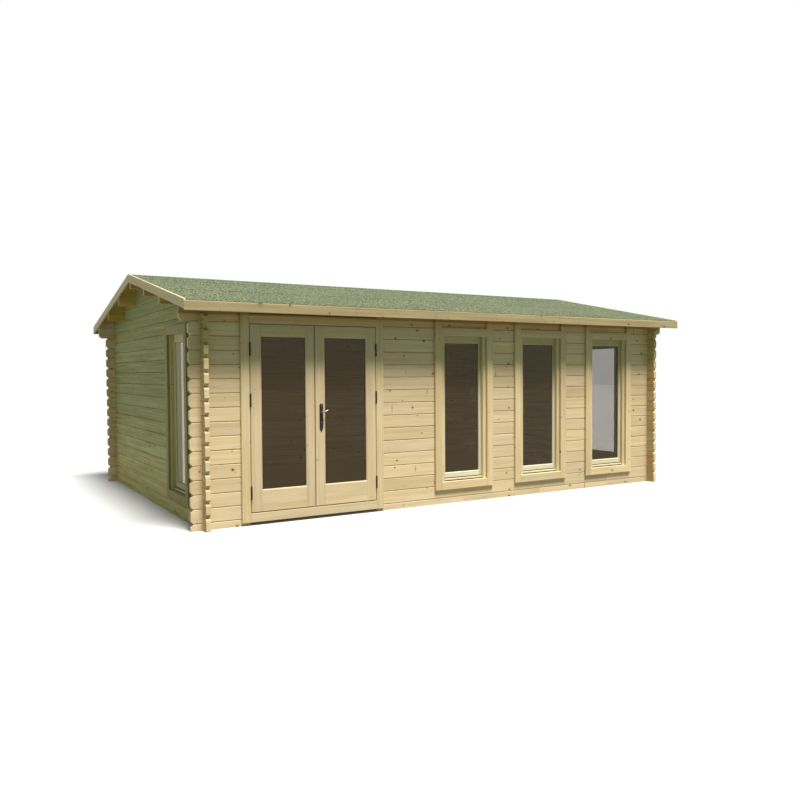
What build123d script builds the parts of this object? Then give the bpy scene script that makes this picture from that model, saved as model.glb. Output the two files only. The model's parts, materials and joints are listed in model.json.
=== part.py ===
"""Log cabin of interlocking square logs with a low gable roof, double glazed doors and five tall windows.

Millimetres, +Z up. The origin is the middle of the footprint, on the ground, and the doors face -Y.
"""
from build123d import *
from math import cos, floor, radians, tan
import os

os.makedirs("parts", exist_ok=True)

# Log walls
WALL_LENGTH = 6000            # between the outer faces of the two gable walls
WALL_DEPTH = 4000             # between the outer faces of the front and rear walls
LOG_THICKNESS = 44
LOG_PITCH = 134               # height that one log covers
LOG_GROOVE = 7                # depth of the V along each joint
LOG_END = 110                 # log end beyond the wall it crosses
LOG_END_BEVEL = 28            # corners cut off the ends of each log
BASE_COURSES = 1.5            # courses under the windows of the front wall
EAVES_COURSES = 14.5          # courses under the eaves log
EAVES_LOG_HEIGHT = 198        # at the outer face

# Roof
ROOF_PITCH = 11.7             # degrees
BOARD_THICKNESS = 19
FELT_THICKNESS = 3
EAVES_OVERHANG = 269          # wall face to fascia face
GABLE_OVERHANG = 216          # gable wall face to bargeboard face
FASCIA_THICKNESS = 22
FASCIA_HEIGHT = 90
BARGE_THICKNESS = 20
BARGE_HEIGHT = 90
BARGE_RISE = 6                # top edge of the bargeboards above the felt
JOINT_HAIRLINE = 0.5          # between two boards that meet
PURLIN_THICKNESS = 44
PURLIN_HEIGHT = 134
PURLIN_SPACING = 650          # from the ridge line down each slope
PURLINS_PER_SLOPE = 2

# Floor
JOIST_SIZE = 44
JOIST_COUNT = 11
FLOOR_THICKNESS = 19

# Trims round the doors and windows
TRIM_THICKNESS = 27
TRIM_ROOF_GAP = 2             # trim head below the roof boards
INNER_TRIM_THICKNESS = 18
INNER_TRIM_WIDTH = 70

# Windows
WINDOW_PLACES = (-0.0035, 0.1832, 0.371)      # middles, as shares of the wall's length from its middle
GABLE_WINDOW_PLACE = -0.3025  # middle, as a share of the gable wall's length
WINDOW_WIDTH = 680            # hole through the logs
WINDOW_JAMB = 74              # face width of a jamb
WINDOW_SILL = 44
WINDOW_HEAD = 83
WINDOW_FRAME_DEPTH = 71
WINDOW_TRIM_WIDTH = 88
WINDOW_TRIM_SETBACK = 30      # trim edge out from the hole's edge towards the glass
SASH_SETBACK = 33             # sash face behind the frame face
SASH_LAP = 10                 # sash edge behind the frame's lip
SASH_GAP = 2
SASH_STILE = 46.5
SASH_TOP_RAIL = 92
SASH_BOTTOM_RAIL = 74
SASH_LIFT = 20                # sash foot above the frame's lip
DRIP_BAR_DEPTH = 22
DRIP_BAR_HEIGHT = 17
DRIP_BAR_GAP = 2              # at each end
DRIP_BAR_LIFT = 11            # above the frame's lip
DRIP_GROOVE = 10              # height and depth of the groove over the bar
GLASS_THICKNESS = 4
SASH_GLASS_SETBACK = 15       # glass behind the face of its sash
GLASS_BITE = 10               # glass held in its groove
MOULDING = 9                  # bevel round the glass

# Doors
DOOR_PLACE = -0.3083          # middle, as a share of the wall's length from its middle
DOOR_WIDTH = 1374             # clear width between the jambs
DOOR_JAMB = 44
DOOR_HEAD = 30
DOOR_TRIM_WIDTH = 88
DOOR_HEAD_TRIM = 89
DOOR_HEAD_Z = 1931            # underside of the head
SILL_FOOT = 30                # foot of the sill's face and of the door trims above the ground
SILL_TOP = 118
LEAF_THICKNESS = 38           # the leaves are flush with the trims
LEAF_GAP = 6                  # all round a leaf
LEAF_GLASS_SETBACK = 20       # glass behind the face of its leaf
MEETING_GAP = 8
MEETING_SHIFT = 11            # meeting line left of the doorway's middle
MEETING_BEVEL = 4             # back edge cut away so that the leaf swings clear
HINGE_STILE = 113
MEETING_STILE = 94            # of the left leaf
LOCK_STILE = 108              # of the right leaf
TOP_RAIL = 118
BOTTOM_RAIL = 215
STOP_LAP = 18                 # stop behind the leaf's edge, measured from the jamb

# Hinges
HINGE_HEIGHTS = (315, 1200, 1690)      # middles
HINGE_LENGTH = 130
HINGE_RADIUS = 7.5
HINGE_PIN_RADIUS = 4
HINGE_PIN_FIT = 0.3
HINGE_PIN_LENGTH = 45
HINGE_RUNNING_GAP = 1
HINGE_STANDOFF = 0.5          # barrel in front of the trim
HINGE_PLATE = 3               # let into the trim and the leaf
HINGE_PLATE_WIDTH = 36        # from the hinge line inwards

# Handle
HANDLE_SETBACK = 62           # spindle from the meeting edge
LEVER_Z = 1066
PLATE_WIDTH = 38
PLATE_BOTTOM = 870
PLATE_TOP = 1150
PLATE_TAPER = 55              # height of the pointed foot
PLATE_FLANK = 0.7             # half width of the foot, as a share of the plate's, at the height below
PLATE_FLANK_HEIGHT = 0.45     # share of the foot's height
PLATE_THICKNESS = 6
KEYHOLE_Z = 968
KEYHOLE_RADIUS = 5
KEYHOLE_SLOT = 4              # width of the slot below the round part
KEYHOLE_FOOT = 14             # foot of the slot below the middle of the round part
SPINDLE_RADIUS = 5
SPINDLE_FIT = 0.5
NECK_RADIUS = 8
NECK_LENGTH = 38              # lever's far face in front of its plate
LEVER_REACH = 67              # spindle line to the tip
LEVER_RISE = 20               # tip above the spindle line
LEVER_DIP = 4                 # arm's middle below the straight line from spindle to tip
LEVER_DEPTH = 12
LEVER_ROOT_RADIUS = 9
LEVER_TIP_RADIUS = 6
LEVER_PLATE_GAP = 1

# Heights and faces that follow from these sizes
SLOPE = tan(radians(ROOF_PITCH))
STEEPNESS = cos(radians(ROOF_PITCH))
HALF_LENGTH = WALL_LENGTH / 2
HALF_DEPTH = WALL_DEPTH / 2
WALL_HEIGHT = EAVES_COURSES * LOG_PITCH + EAVES_LOG_HEIGHT
OPENING_BOTTOM = BASE_COURSES * LOG_PITCH
OPENING_TOP = EAVES_COURSES * LOG_PITCH
HALF_LOG = LOG_PITCH / 2
DOOR_CENTRE = DOOR_PLACE * WALL_LENGTH
GABLE_WINDOW_CENTRE = GABLE_WINDOW_PLACE * WALL_DEPTH
BARGE_X = HALF_LENGTH + GABLE_OVERHANG
EAVES_Y = HALF_DEPTH + EAVES_OVERHANG
ROOF_X = BARGE_X - BARGE_THICKNESS
ROOF_Y = EAVES_Y - FASCIA_THICKNESS
FLOOR_TOP = JOIST_SIZE + FLOOR_THICKNESS
LEAF_BOTTOM = SILL_TOP + LEAF_GAP
LEAF_TOP = DOOR_HEAD_Z - LEAF_GAP
HINGE_X = DOOR_WIDTH / 2 - LEAF_GAP / 2
HINGE_Y = -TRIM_THICKNESS - HINGE_STANDOFF - HINGE_RADIUS
STOP_FACE = LEAF_THICKNESS - TRIM_THICKNESS + LEAF_GAP
LEAF_PLACE = Pos(0, -TRIM_THICKNESS, 0)


def block(xs, ys, zs):
    """A box between two corners, each direction given as (low, high)."""
    sizes = [high - low for low, high in (xs, ys, zs)]
    middle = [(high + low) / 2 for low, high in (xs, ys, zs)]
    return Pos(*middle) * Box(*sizes)


def underside(y):
    """Height of the roof boards' underside at a distance y from the ridge line."""
    return WALL_HEIGHT + (HALF_DEPTH - abs(y)) * SLOPE


def prism_x(points, x_low, x_high):
    """A (y, z) outline drawn out along X."""
    face = make_face(Polyline(*[(x_low, y, z) for y, z in points], close=True))
    return extrude(face, amount=x_high - x_low, dir=(1, 0, 0))


def prism_y(points, y_low, y_high):
    """An (x, z) outline drawn out along Y."""
    face = make_face(Polyline(*[(x, y_low, z) for x, z in points], close=True))
    return extrude(face, amount=y_high - y_low, dir=(0, 1, 0))


def end_bevels(first_joint, top, end):
    """Outlines of the corners cut off both ends of the logs at each joint, as (distance along, z)."""
    outlines = []
    z = first_joint
    while z <= top:
        for tip in (-end, end):
            outlines.append([(tip - LOG_END_BEVEL, z), (tip, z - LOG_END_BEVEL),
                             (tip + LOG_END_BEVEL, z), (tip, z + LOG_END_BEVEL)])
        z += LOG_PITCH
    return outlines


def log_section(first_joint, height):
    """Outline of stacked logs as (depth, z), with a V on both faces at every joint."""
    joints = [first_joint + LOG_PITCH * k for k in range(floor((height - first_joint) / LOG_PITCH) + 1)]
    outer = [(0, 0)]
    for z in joints:
        if LOG_GROOVE < z < height - LOG_GROOVE:
            outer += [(0, z - LOG_GROOVE), (LOG_GROOVE, z), (0, z + LOG_GROOVE)]
        elif z == height:
            outer += [(0, z - LOG_GROOVE), (LOG_GROOVE, z)]
    if height not in joints:
        outer.append((0, height))
    return outer + [(LOG_THICKNESS - depth, z) for depth, z in reversed(outer)]


def notches(first_notch, across, along, top):
    """The halves of the crossing logs: one block per course, as wide as a log each way."""
    blocks = []
    z = first_notch
    while z < top:
        blocks.append(block(across, along, (z, min(z + HALF_LOG, top))))
        z += LOG_PITCH
    return blocks


def corner_bands():
    """X and Y bands where the logs of two walls cross."""
    x_bands = [(-HALF_LENGTH, -HALF_LENGTH + LOG_THICKNESS), (HALF_LENGTH - LOG_THICKNESS, HALF_LENGTH)]
    y_bands = [(-HALF_DEPTH, -HALF_DEPTH + LOG_THICKNESS), (HALF_DEPTH - LOG_THICKNESS, HALF_DEPTH)]
    return x_bands, y_bands


def long_wall():
    """Front wall under its eaves log, notched for the gable logs, outer face on -Y."""
    x_bands, y_bands = corner_bands()
    section = [(y - HALF_DEPTH, z) for y, z in log_section(HALF_LOG, OPENING_TOP)]
    end = HALF_LENGTH + LOG_END
    wall = prism_x(section, -end, end)
    for band in x_bands:
        wall -= notches(LOG_PITCH / 4, band, y_bands[0], OPENING_TOP + LOG_PITCH / 4)
    return wall - [prism_y(outline, *y_bands[0]) for outline in end_bevels(HALF_LOG, OPENING_TOP, end)]


def eaves_log():
    """Front eaves log: its top follows the roof, and it runs on to the bargeboards."""
    x_bands, y_bands = corner_bands()
    outer, inner = y_bands[0]
    section = [(outer + LOG_GROOVE, OPENING_TOP), (outer, OPENING_TOP + LOG_GROOVE), (outer, underside(outer)),
               (inner, underside(inner)), (inner, OPENING_TOP + LOG_GROOVE), (inner - LOG_GROOVE, OPENING_TOP)]
    log = prism_x(section, -ROOF_X, ROOF_X)
    for band in x_bands:
        log -= block(band, y_bands[0], (OPENING_TOP, OPENING_TOP + LOG_PITCH / 4))
    return log - [prism_y(outline, *y_bands[0]) for outline in end_bevels(OPENING_TOP, OPENING_TOP, ROOF_X)]


def door_hole():
    """Space that the door frame takes in the front wall and its eaves log."""
    reach = DOOR_WIDTH / 2 + DOOR_JAMB
    return block((DOOR_CENTRE - reach, DOOR_CENTRE + reach),
                 (-HALF_DEPTH, -HALF_DEPTH + LOG_THICKNESS), (0, DOOR_HEAD_Z + DOOR_HEAD))


def window_centres():
    """Middles of the front windows along the wall."""
    return [place * WALL_LENGTH for place in WINDOW_PLACES]


def window_edges(centre):
    """Low and high edge of a window's hole along its wall."""
    return centre - WINDOW_WIDTH / 2, centre + WINDOW_WIDTH / 2


def front_wall_nodes():
    """The front wall, split beside the doorway and the windows at its log joints."""
    wall = long_wall()
    thickness = (-HALF_DEPTH, -HALF_DEPTH + LOG_THICKNESS)
    door_low = DOOR_CENTRE - DOOR_WIDTH / 2 - DOOR_JAMB
    door_high = DOOR_CENTRE + DOOR_WIDTH / 2 + DOOR_JAMB
    end = HALF_LENGTH + LOG_END
    nodes = {"front_wall_left_end": wall & block((-end, door_low), thickness, (0, OPENING_TOP)),
             "front_wall_base_logs": wall & block((door_high, end), thickness, (0, OPENING_BOTTOM)),
             "front_eaves_log": eaves_log() - door_hole()}
    low = door_high
    for number, centre in enumerate(window_centres(), 1):
        left, right = window_edges(centre)
        nodes[f"front_wall_pier_{number}"] = wall & block((low, left), thickness, (OPENING_BOTTOM, OPENING_TOP))
        low = right
    nodes["front_wall_right_end"] = wall & block((low, end), thickness, (OPENING_BOTTOM, OPENING_TOP))
    return nodes


def rear_wall():
    """The rear wall with its eaves log, plain from end to end."""
    return Rot(0, 0, 180) * (long_wall() + eaves_log())


def purlin(y):
    """One purlin along the roof at y, its top cut to the slope."""
    low, high = y - PURLIN_THICKNESS / 2, y + PURLIN_THICKNESS / 2
    foot = underside(abs(y) + (PURLIN_THICKNESS / 2 if y else 0)) - PURLIN_HEIGHT
    crest = [(y, underside(y))] if y == 0 else []
    section = [(low, foot), (high, foot), (high, underside(high)), *crest, (low, underside(low))]
    return prism_x(section, -ROOF_X, ROOF_X)


def roof_purlins():
    """Ridge purlin and side purlins, apart from each other."""
    return [purlin(PURLIN_SPACING * k) for k in range(-PURLINS_PER_SLOPE, PURLINS_PER_SLOPE + 1)]


def gable_section():
    """Outline of a gable wall as (y, z), inside the front and rear eaves logs above them."""
    end = HALF_DEPTH + LOG_END
    shoulder = HALF_DEPTH - LOG_THICKNESS
    top = OPENING_TOP + HALF_LOG
    return [(-end, 0), (end, 0), (end, top), (shoulder, top), (shoulder, underside(shoulder)),
            (0, underside(0)), (-shoulder, underside(shoulder)), (-shoulder, top), (-end, top)]


def gable_wall():
    """Left gable wall, notched for the front and rear logs and slotted for the purlins."""
    x_bands, y_bands = corner_bands()
    logs = log_section(LOG_PITCH, underside(0))
    end = HALF_DEPTH + LOG_END
    face = make_face(Polyline(*[(x - HALF_LENGTH, -end, z) for x, z in logs], close=True))
    wall = extrude(face, amount=2 * end, dir=(0, 1, 0))
    wall &= prism_x(gable_section(), *x_bands[0])
    foot = (-LOG_PITCH / 4, OPENING_TOP)
    for band in y_bands:
        wall -= notches(foot[0], x_bands[0], band, foot[1])
        wall -= block(x_bands[0], band, (OPENING_TOP + LOG_PITCH / 4, underside(0)))
    for timber in roof_purlins():
        wall -= timber
    top = OPENING_TOP + HALF_LOG
    return wall - [prism_x(outline, *x_bands[0]) for outline in end_bevels(LOG_PITCH, top, end)]


def gable_nodes(side):
    """One gable wall, split round its window at its log joints."""
    wall = gable_wall()
    band = (-HALF_LENGTH, -HALF_LENGTH + LOG_THICKNESS)
    low, high = window_edges(GABLE_WINDOW_CENTRE)
    wall -= block(band, (low, high), (OPENING_BOTTOM, OPENING_TOP))
    base_top, head = OPENING_BOTTOM + HALF_LOG, OPENING_TOP - HALF_LOG
    end = HALF_DEPTH + LOG_END
    pieces = {f"{side}_gable_base_logs": block(band, (-end, end), (0, base_top)),
              f"{side}_gable_front_pier": block(band, (-end, low), (base_top, head)),
              f"{side}_gable_rear_panel": block(band, (high, end), (base_top, head)),
              f"{side}_gable_top": block(band, (-end, end), (head, underside(0)))}
    nodes = {name: wall & piece for name, piece in pieces.items()}
    if side == "right":
        nodes = {name: mirror(piece, about=Plane.YZ) for name, piece in nodes.items()}
    return nodes


def floor_nodes():
    """Floor boards on joists, inside the walls."""
    half_x, half_y = HALF_LENGTH - LOG_THICKNESS, HALF_DEPTH - LOG_THICKNESS
    boards = block((-half_x, half_x), (-half_y, half_y), (JOIST_SIZE, FLOOR_TOP))
    spacing = (2 * half_x - JOIST_SIZE) / (JOIST_COUNT - 1)
    joists = [block((-half_x + spacing * k, -half_x + spacing * k + JOIST_SIZE), (-half_y, half_y),
                    (0, JOIST_SIZE)) for k in range(JOIST_COUNT)]
    return {"floor_boards": boards, "floor_joists": joists}


def roof_nodes():
    """Roof boards, felt, purlins, fascias and bargeboards."""
    board = BOARD_THICKNESS / STEEPNESS
    felt = FELT_THICKNESS / STEEPNESS
    eave, ridge = underside(ROOF_Y), underside(0)
    slope = prism_x([(-ROOF_Y, eave), (0, ridge), (0, ridge + board), (-ROOF_Y, eave + board)], -ROOF_X, ROOF_X)
    under_felt, felt_edge = ridge + board, underside(EAVES_Y) + board
    sheet = prism_x([(-EAVES_Y, felt_edge), (0, under_felt), (0, under_felt + felt),
                     (-EAVES_Y, felt_edge + felt)], -ROOF_X, ROOF_X)
    foot = felt_edge - FASCIA_HEIGHT
    fascia = prism_x([(-EAVES_Y, foot), (-ROOF_Y, foot), (-ROOF_Y, eave + board), (-EAVES_Y, felt_edge)],
                     -BARGE_X, BARGE_X)
    apex, barge_foot = ridge + board + felt + BARGE_RISE, eave + board + felt + BARGE_RISE
    middle = JOINT_HAIRLINE / 2
    barge = prism_x([(-ROOF_Y, barge_foot - BARGE_HEIGHT), (-middle, apex - BARGE_HEIGHT), (-middle, apex),
                     (-ROOF_Y, barge_foot)], -BARGE_X, -ROOF_X)
    left_barges = [barge, mirror(barge, about=Plane.XZ)]
    return {"roof_boards_front": slope, "roof_boards_rear": mirror(slope, about=Plane.XZ),
            "roof_felt_front": sheet, "roof_felt_rear": mirror(sheet, about=Plane.XZ),
            "purlins": roof_purlins(),
            "fascia_front": fascia, "fascia_rear": mirror(fascia, about=Plane.XZ),
            "left_bargeboards": left_barges,
            "right_bargeboards": [mirror(piece, about=Plane.YZ) for piece in left_barges]}


def ring(half_width, zs, hole_half_width, hole_zs, ys):
    """A rectangular frame: a block with a smaller rectangular hole through it."""
    return (block((-half_width, half_width), ys, zs)
            - block((-hole_half_width, hole_half_width), ys, hole_zs))


def rectangle(xs, zs, y):
    """An upright rectangle that faces along Y."""
    corners = [(xs[0], y, zs[0]), (xs[1], y, zs[0]), (xs[1], y, zs[1]), (xs[0], y, zs[1])]
    return make_face(Polyline(*corners, close=True))


def flare(xs, zs, face):
    """Space that bevels the front edges round a hole."""
    wide_xs, wide_zs = [(low - MOULDING, high + MOULDING) for low, high in (xs, zs)]
    return loft([rectangle(wide_xs, wide_zs, face), rectangle(xs, zs, face + MOULDING)])


def window_frame(trim_top):
    """Fixed frame with its side trims up to trim_top, outer wall face on y = 0, looking out to -Y."""
    half = WINDOW_WIDTH / 2
    lip = half - WINDOW_JAMB
    lip_zs = (OPENING_BOTTOM + WINDOW_SILL, OPENING_TOP - WINDOW_HEAD)
    seat = lip + SASH_LAP + SASH_GAP
    seat_zs = (lip_zs[0] + SASH_LIFT - SASH_GAP, lip_zs[1] + SASH_LAP + SASH_GAP)
    zs = (OPENING_BOTTOM, OPENING_TOP)
    frame = ring(half, zs, lip, lip_zs, (0, SASH_SETBACK))
    frame += ring(half, zs, seat, seat_zs, (SASH_SETBACK, WINDOW_FRAME_DEPTH))
    trim_low = half - WINDOW_TRIM_SETBACK
    trim_high = trim_low + WINDOW_TRIM_WIDTH
    face = (-TRIM_THICKNESS, 0)
    foot = lip_zs[0] - WINDOW_TRIM_WIDTH
    for side in (-1, 1):
        edges = sorted((side * trim_low, side * trim_high))
        frame += block(edges, face, (foot, trim_top))
    frame += block((-trim_low, trim_low), face, (foot, lip_zs[0]))
    frame += block((-trim_low, trim_low), face, (lip_zs[1], lip_zs[1] + WINDOW_TRIM_WIDTH))
    reach = half + INNER_TRIM_WIDTH
    frame += ring(reach, (zs[0] - INNER_TRIM_WIDTH, zs[1] + INNER_TRIM_WIDTH), half, zs,
                  (LOG_THICKNESS, LOG_THICKNESS + INNER_TRIM_THICKNESS))
    return frame


def sash_sizes():
    """Half width, z range, hole half width and hole z range of a sash."""
    half = WINDOW_WIDTH / 2 - WINDOW_JAMB + SASH_LAP
    zs = (OPENING_BOTTOM + WINDOW_SILL + SASH_LIFT, OPENING_TOP - WINDOW_HEAD + SASH_LAP)
    return half, zs, half - SASH_STILE, (zs[0] + SASH_BOTTOM_RAIL, zs[1] - SASH_TOP_RAIL)


def window_sash():
    """Sash with a glass groove and a drip bar on its bottom rail."""
    half, zs, hole, hole_zs = sash_sizes()
    sash = ring(half, zs, hole, hole_zs, (SASH_SETBACK, WINDOW_FRAME_DEPTH))
    sash -= flare((-hole, hole), hole_zs, SASH_SETBACK)
    sash -= window_glass()
    bar_half = WINDOW_WIDTH / 2 - WINDOW_JAMB - DRIP_BAR_GAP
    foot = OPENING_BOTTOM + WINDOW_SILL + DRIP_BAR_LIFT
    top = foot + DRIP_BAR_HEIGHT
    sash += block((-bar_half, bar_half), (SASH_SETBACK - DRIP_BAR_DEPTH, SASH_SETBACK), (foot, top))
    return sash - block((-half, half), (SASH_SETBACK, SASH_SETBACK + DRIP_GROOVE), (top, top + DRIP_GROOVE))


def window_glass():
    """The pane, held by its edges in the sash."""
    half, zs, hole, hole_zs = sash_sizes()
    low = SASH_SETBACK + SASH_GLASS_SETBACK
    return block((-hole - GLASS_BITE, hole + GLASS_BITE), (low, low + GLASS_THICKNESS),
                 (hole_zs[0] - GLASS_BITE, hole_zs[1] + GLASS_BITE))


def window_places():
    """Where the five windows stand: three along the front and one in each gable."""
    places = {f"window_{number}": Pos(centre, -HALF_DEPTH, 0)
              for number, centre in enumerate(window_centres(), 1)}
    places["left_gable_window"] = Pos(-HALF_LENGTH, GABLE_WINDOW_CENTRE, 0) * Rot(0, 0, -90)
    places["right_gable_window"] = Pos(HALF_LENGTH, GABLE_WINDOW_CENTRE, 0) * Rot(0, 0, 90)
    return places


def window_nodes():
    """Frames each in a node, with the sashes and the panes together."""
    sash, pane = window_sash(), window_glass()
    under_roof = window_frame(underside(HALF_DEPTH + TRIM_THICKNESS) - TRIM_ROOF_GAP)
    in_gable = window_frame(OPENING_TOP - WINDOW_HEAD + WINDOW_TRIM_WIDTH)
    places = window_places()
    nodes = {f"{name}_frame": place * (in_gable if "gable" in name else under_roof)
             for name, place in places.items()}
    nodes["window_sashes"] = [place * sash for place in places.values()]
    nodes["window_glass"] = [place * pane for place in places.values()]
    return nodes


def door_frame_nodes():
    """Jambs with their trims, head, sill and the inner stops, wall face on y = 0, centred on x = 0."""
    half = DOOR_WIDTH / 2
    trim_top = underside(HALF_DEPTH + TRIM_THICKNESS) - TRIM_ROOF_GAP
    jamb = block((half, half + DOOR_JAMB), (0, LOG_THICKNESS), (0, DOOR_HEAD_Z + DOOR_HEAD))
    jamb += block((half, half + DOOR_TRIM_WIDTH), (-TRIM_THICKNESS, 0), (SILL_FOOT, trim_top))
    jamb -= [hinge_plate(z, half, -1) for z in HINGE_HEIGHTS]
    head = block((-half, half), (0, LOG_THICKNESS), (DOOR_HEAD_Z, DOOR_HEAD_Z + DOOR_HEAD))
    head += block((-half, half), (-TRIM_THICKNESS, 0), (DOOR_HEAD_Z, DOOR_HEAD_Z + DOOR_HEAD_TRIM))
    sill = block((-half, half), (-TRIM_THICKNESS, LOG_THICKNESS), (0, SILL_TOP))
    sill -= block((-half, half), (-TRIM_THICKNESS, 0), (0, SILL_FOOT))
    lap_ys, lap = (STOP_FACE, LOG_THICKNESS), half - STOP_LAP
    sill += block((-half, half), lap_ys, (SILL_TOP, SILL_TOP + STOP_LAP))
    stop_ys = (LOG_THICKNESS, LOG_THICKNESS + INNER_TRIM_THICKNESS)
    reach, foot = lap + INNER_TRIM_WIDTH, DOOR_HEAD_Z - STOP_LAP
    stop = block((lap, reach), stop_ys, (FLOOR_TOP, foot))
    stop += block((lap, half), lap_ys, (SILL_TOP + STOP_LAP, foot))
    foot += JOINT_HAIRLINE
    head_stop = block((-reach, reach), stop_ys, (foot, DOOR_HEAD_Z - STOP_LAP + INNER_TRIM_WIDTH))
    head_stop += block((-half, half), lap_ys, (foot, DOOR_HEAD_Z))
    other_side = Plane.YZ
    return {"door_left_jamb": mirror(jamb, about=other_side), "door_right_jamb": jamb,
            "door_head": head, "door_sill": sill,
            "door_stops": [mirror(stop, about=other_side), stop, head_stop]}


def leaf_edges(shift):
    """Near and far edge of a leaf on +X, whose meeting line stands shift beyond the doorway's middle."""
    return shift + MEETING_GAP / 2, DOOR_WIDTH / 2 - LEAF_GAP


def leaf_hole(shift):
    """Hole for the glass in a leaf, as its x and z ranges."""
    near, far = leaf_edges(shift)
    near += MEETING_STILE if shift > 0 else LOCK_STILE
    return (near, far - HINGE_STILE), (LEAF_BOTTOM + BOTTOM_RAIL, LEAF_TOP - TOP_RAIL)


def leaf_glass(shift):
    """Pane of a leaf, held by its edges in the stiles and rails."""
    xs, zs = [(low - GLASS_BITE, high + GLASS_BITE) for low, high in leaf_hole(shift)]
    return block(xs, (LEAF_GLASS_SETBACK, LEAF_GLASS_SETBACK + GLASS_THICKNESS), zs)


def door_leaf(shift):
    """A leaf on +X: stiles and rails round a tall pane, its meeting edge bevelled at the back."""
    near, far = leaf_edges(shift)
    outline = Polyline((near, 0, LEAF_BOTTOM), (far, 0, LEAF_BOTTOM), (far, LEAF_THICKNESS, LEAF_BOTTOM),
                       (near + MEETING_BEVEL, LEAF_THICKNESS, LEAF_BOTTOM), close=True)
    leaf = extrude(make_face(outline), amount=LEAF_TOP - LEAF_BOTTOM, dir=(0, 0, 1))
    xs, zs = leaf_hole(shift)
    leaf -= block(xs, (0, LEAF_THICKNESS), zs)
    leaf -= flare(xs, zs, 0)
    return leaf - leaf_glass(shift)


def upright(radius, z_low, z_high):
    """A vertical cylinder on the hinge line."""
    return Pos(HINGE_X, HINGE_Y, (z_low + z_high) / 2) * Cylinder(radius, z_high - z_low)


def hinge_span(z, half):
    """Height range of a hinge's lower half (-1) or upper half (1)."""
    return tuple(sorted((z + half * HINGE_LENGTH / 2, z + half * HINGE_RUNNING_GAP / 2)))


def hinge_plate(z, x, half):
    """Plate of one half of a hinge, from x into the wood."""
    return block((x, x + HINGE_PLATE), (HINGE_Y, HINGE_Y + HINGE_PLATE_WIDTH), hinge_span(z, half))


def frame_hinge(z):
    """Lower half of one hinge: barrel, pin and the plate let into the trim."""
    low, middle = hinge_span(z, -1)
    hinge = upright(HINGE_RADIUS, low, middle) + upright(HINGE_PIN_RADIUS, low, middle + HINGE_PIN_LENGTH)
    return hinge + hinge_plate(z, DOOR_WIDTH / 2, -1)


def leaf_plate(z):
    """Plate of the upper half of one hinge, let into the leaf's edge."""
    return hinge_plate(z, DOOR_WIDTH / 2 - LEAF_GAP - HINGE_PLATE, 1)


def leaf_hinge(z):
    """Upper half of one hinge: bored barrel and its plate."""
    middle, high = hinge_span(z, 1)
    bore_top = middle + HINGE_PIN_LENGTH + HINGE_PIN_FIT
    hinge = upright(HINGE_RADIUS, middle, high) + leaf_plate(z)
    return hinge - upright(HINGE_PIN_RADIUS + HINGE_PIN_FIT, middle, bore_top)


def across(radius, x, z, y_low, y_high):
    """A cylinder along Y."""
    return Pos(x, (y_low + y_high) / 2, z) * Rot(90, 0, 0) * Cylinder(radius, y_high - y_low)


def handle_x():
    """Spindle line across the right leaf."""
    return leaf_edges(-MEETING_SHIFT)[0] + HANDLE_SETBACK


def drawn_out(lines, ys):
    """A closed outline of lines and arcs given as (x, z) points, drawn out along Y."""
    curves = []
    for points in lines:
        corners = [(x, ys[0], z) for x, z in points]
        curves.append(Line(*corners) if len(corners) == 2 else ThreePointArc(*corners))
    return extrude(make_face(Curve() + curves), amount=ys[1] - ys[0], dir=(0, 1, 0))


def handle_plate(ys):
    """One handle plate: round head, pointed foot, a hole for the spindle and a keyhole."""
    x, radius = handle_x(), PLATE_WIDTH / 2
    low, high = x - radius, x + radius
    shoulder, crown = PLATE_BOTTOM + PLATE_TAPER, PLATE_TOP - radius
    flank_z, flank = PLATE_BOTTOM + PLATE_TAPER * PLATE_FLANK_HEIGHT, radius * PLATE_FLANK
    plate = drawn_out([[(low, shoulder), (low, crown)], [(low, crown), (x, PLATE_TOP), (high, crown)],
                       [(high, crown), (high, shoulder)],
                       [(high, shoulder), (x + flank, flank_z), (x, PLATE_BOTTOM)],
                       [(x, PLATE_BOTTOM), (x - flank, flank_z), (low, shoulder)]], ys)
    plate -= across(SPINDLE_RADIUS + SPINDLE_FIT, x, LEVER_Z, *ys)
    plate -= across(KEYHOLE_RADIUS, x, KEYHOLE_Z, *ys)
    slot = (x - KEYHOLE_SLOT / 2, x + KEYHOLE_SLOT / 2)
    return plate - block(slot, ys, (KEYHOLE_Z - KEYHOLE_FOOT, KEYHOLE_Z))


def lever_arm(ys):
    """Arm of a lever: round at the spindle, slimmer as it rises to its tip."""
    x, z, root, tip = handle_x(), LEVER_Z, LEVER_ROOT_RADIUS, LEVER_TIP_RADIUS
    end, rise = x + LEVER_REACH - tip, z + LEVER_RISE
    middle, half = (z + rise) / 2 - LEVER_DIP, (root + tip) / 2
    return drawn_out([[(x, z - root), ((x + end) / 2, middle - half), (end, rise - tip)],
                      [(end, rise - tip), (end + tip, rise), (end, rise + tip)],
                      [(end, rise + tip), ((x + end) / 2, middle + half), (x, z + root)],
                      [(x, z + root), (x - root, z), (x, z - root)]], ys)


def door_lever():
    """Levers on both faces, joined by the spindle."""
    x = handle_x()
    reach = PLATE_THICKNESS + LEVER_PLATE_GAP
    lever = across(SPINDLE_RADIUS, x, LEVER_Z, -reach, LEAF_THICKNESS + reach)
    steps = (LEVER_PLATE_GAP, NECK_LENGTH - LEVER_DEPTH, NECK_LENGTH)
    for face, out in ((-PLATE_THICKNESS, -1), (LEAF_THICKNESS + PLATE_THICKNESS, 1)):
        foot, back, front = [face + out * step for step in steps]
        lever += across(NECK_RADIUS, x, LEVER_Z, *sorted((foot, back)))
        lever += lever_arm(sorted((back, front)))
    return lever


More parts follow.
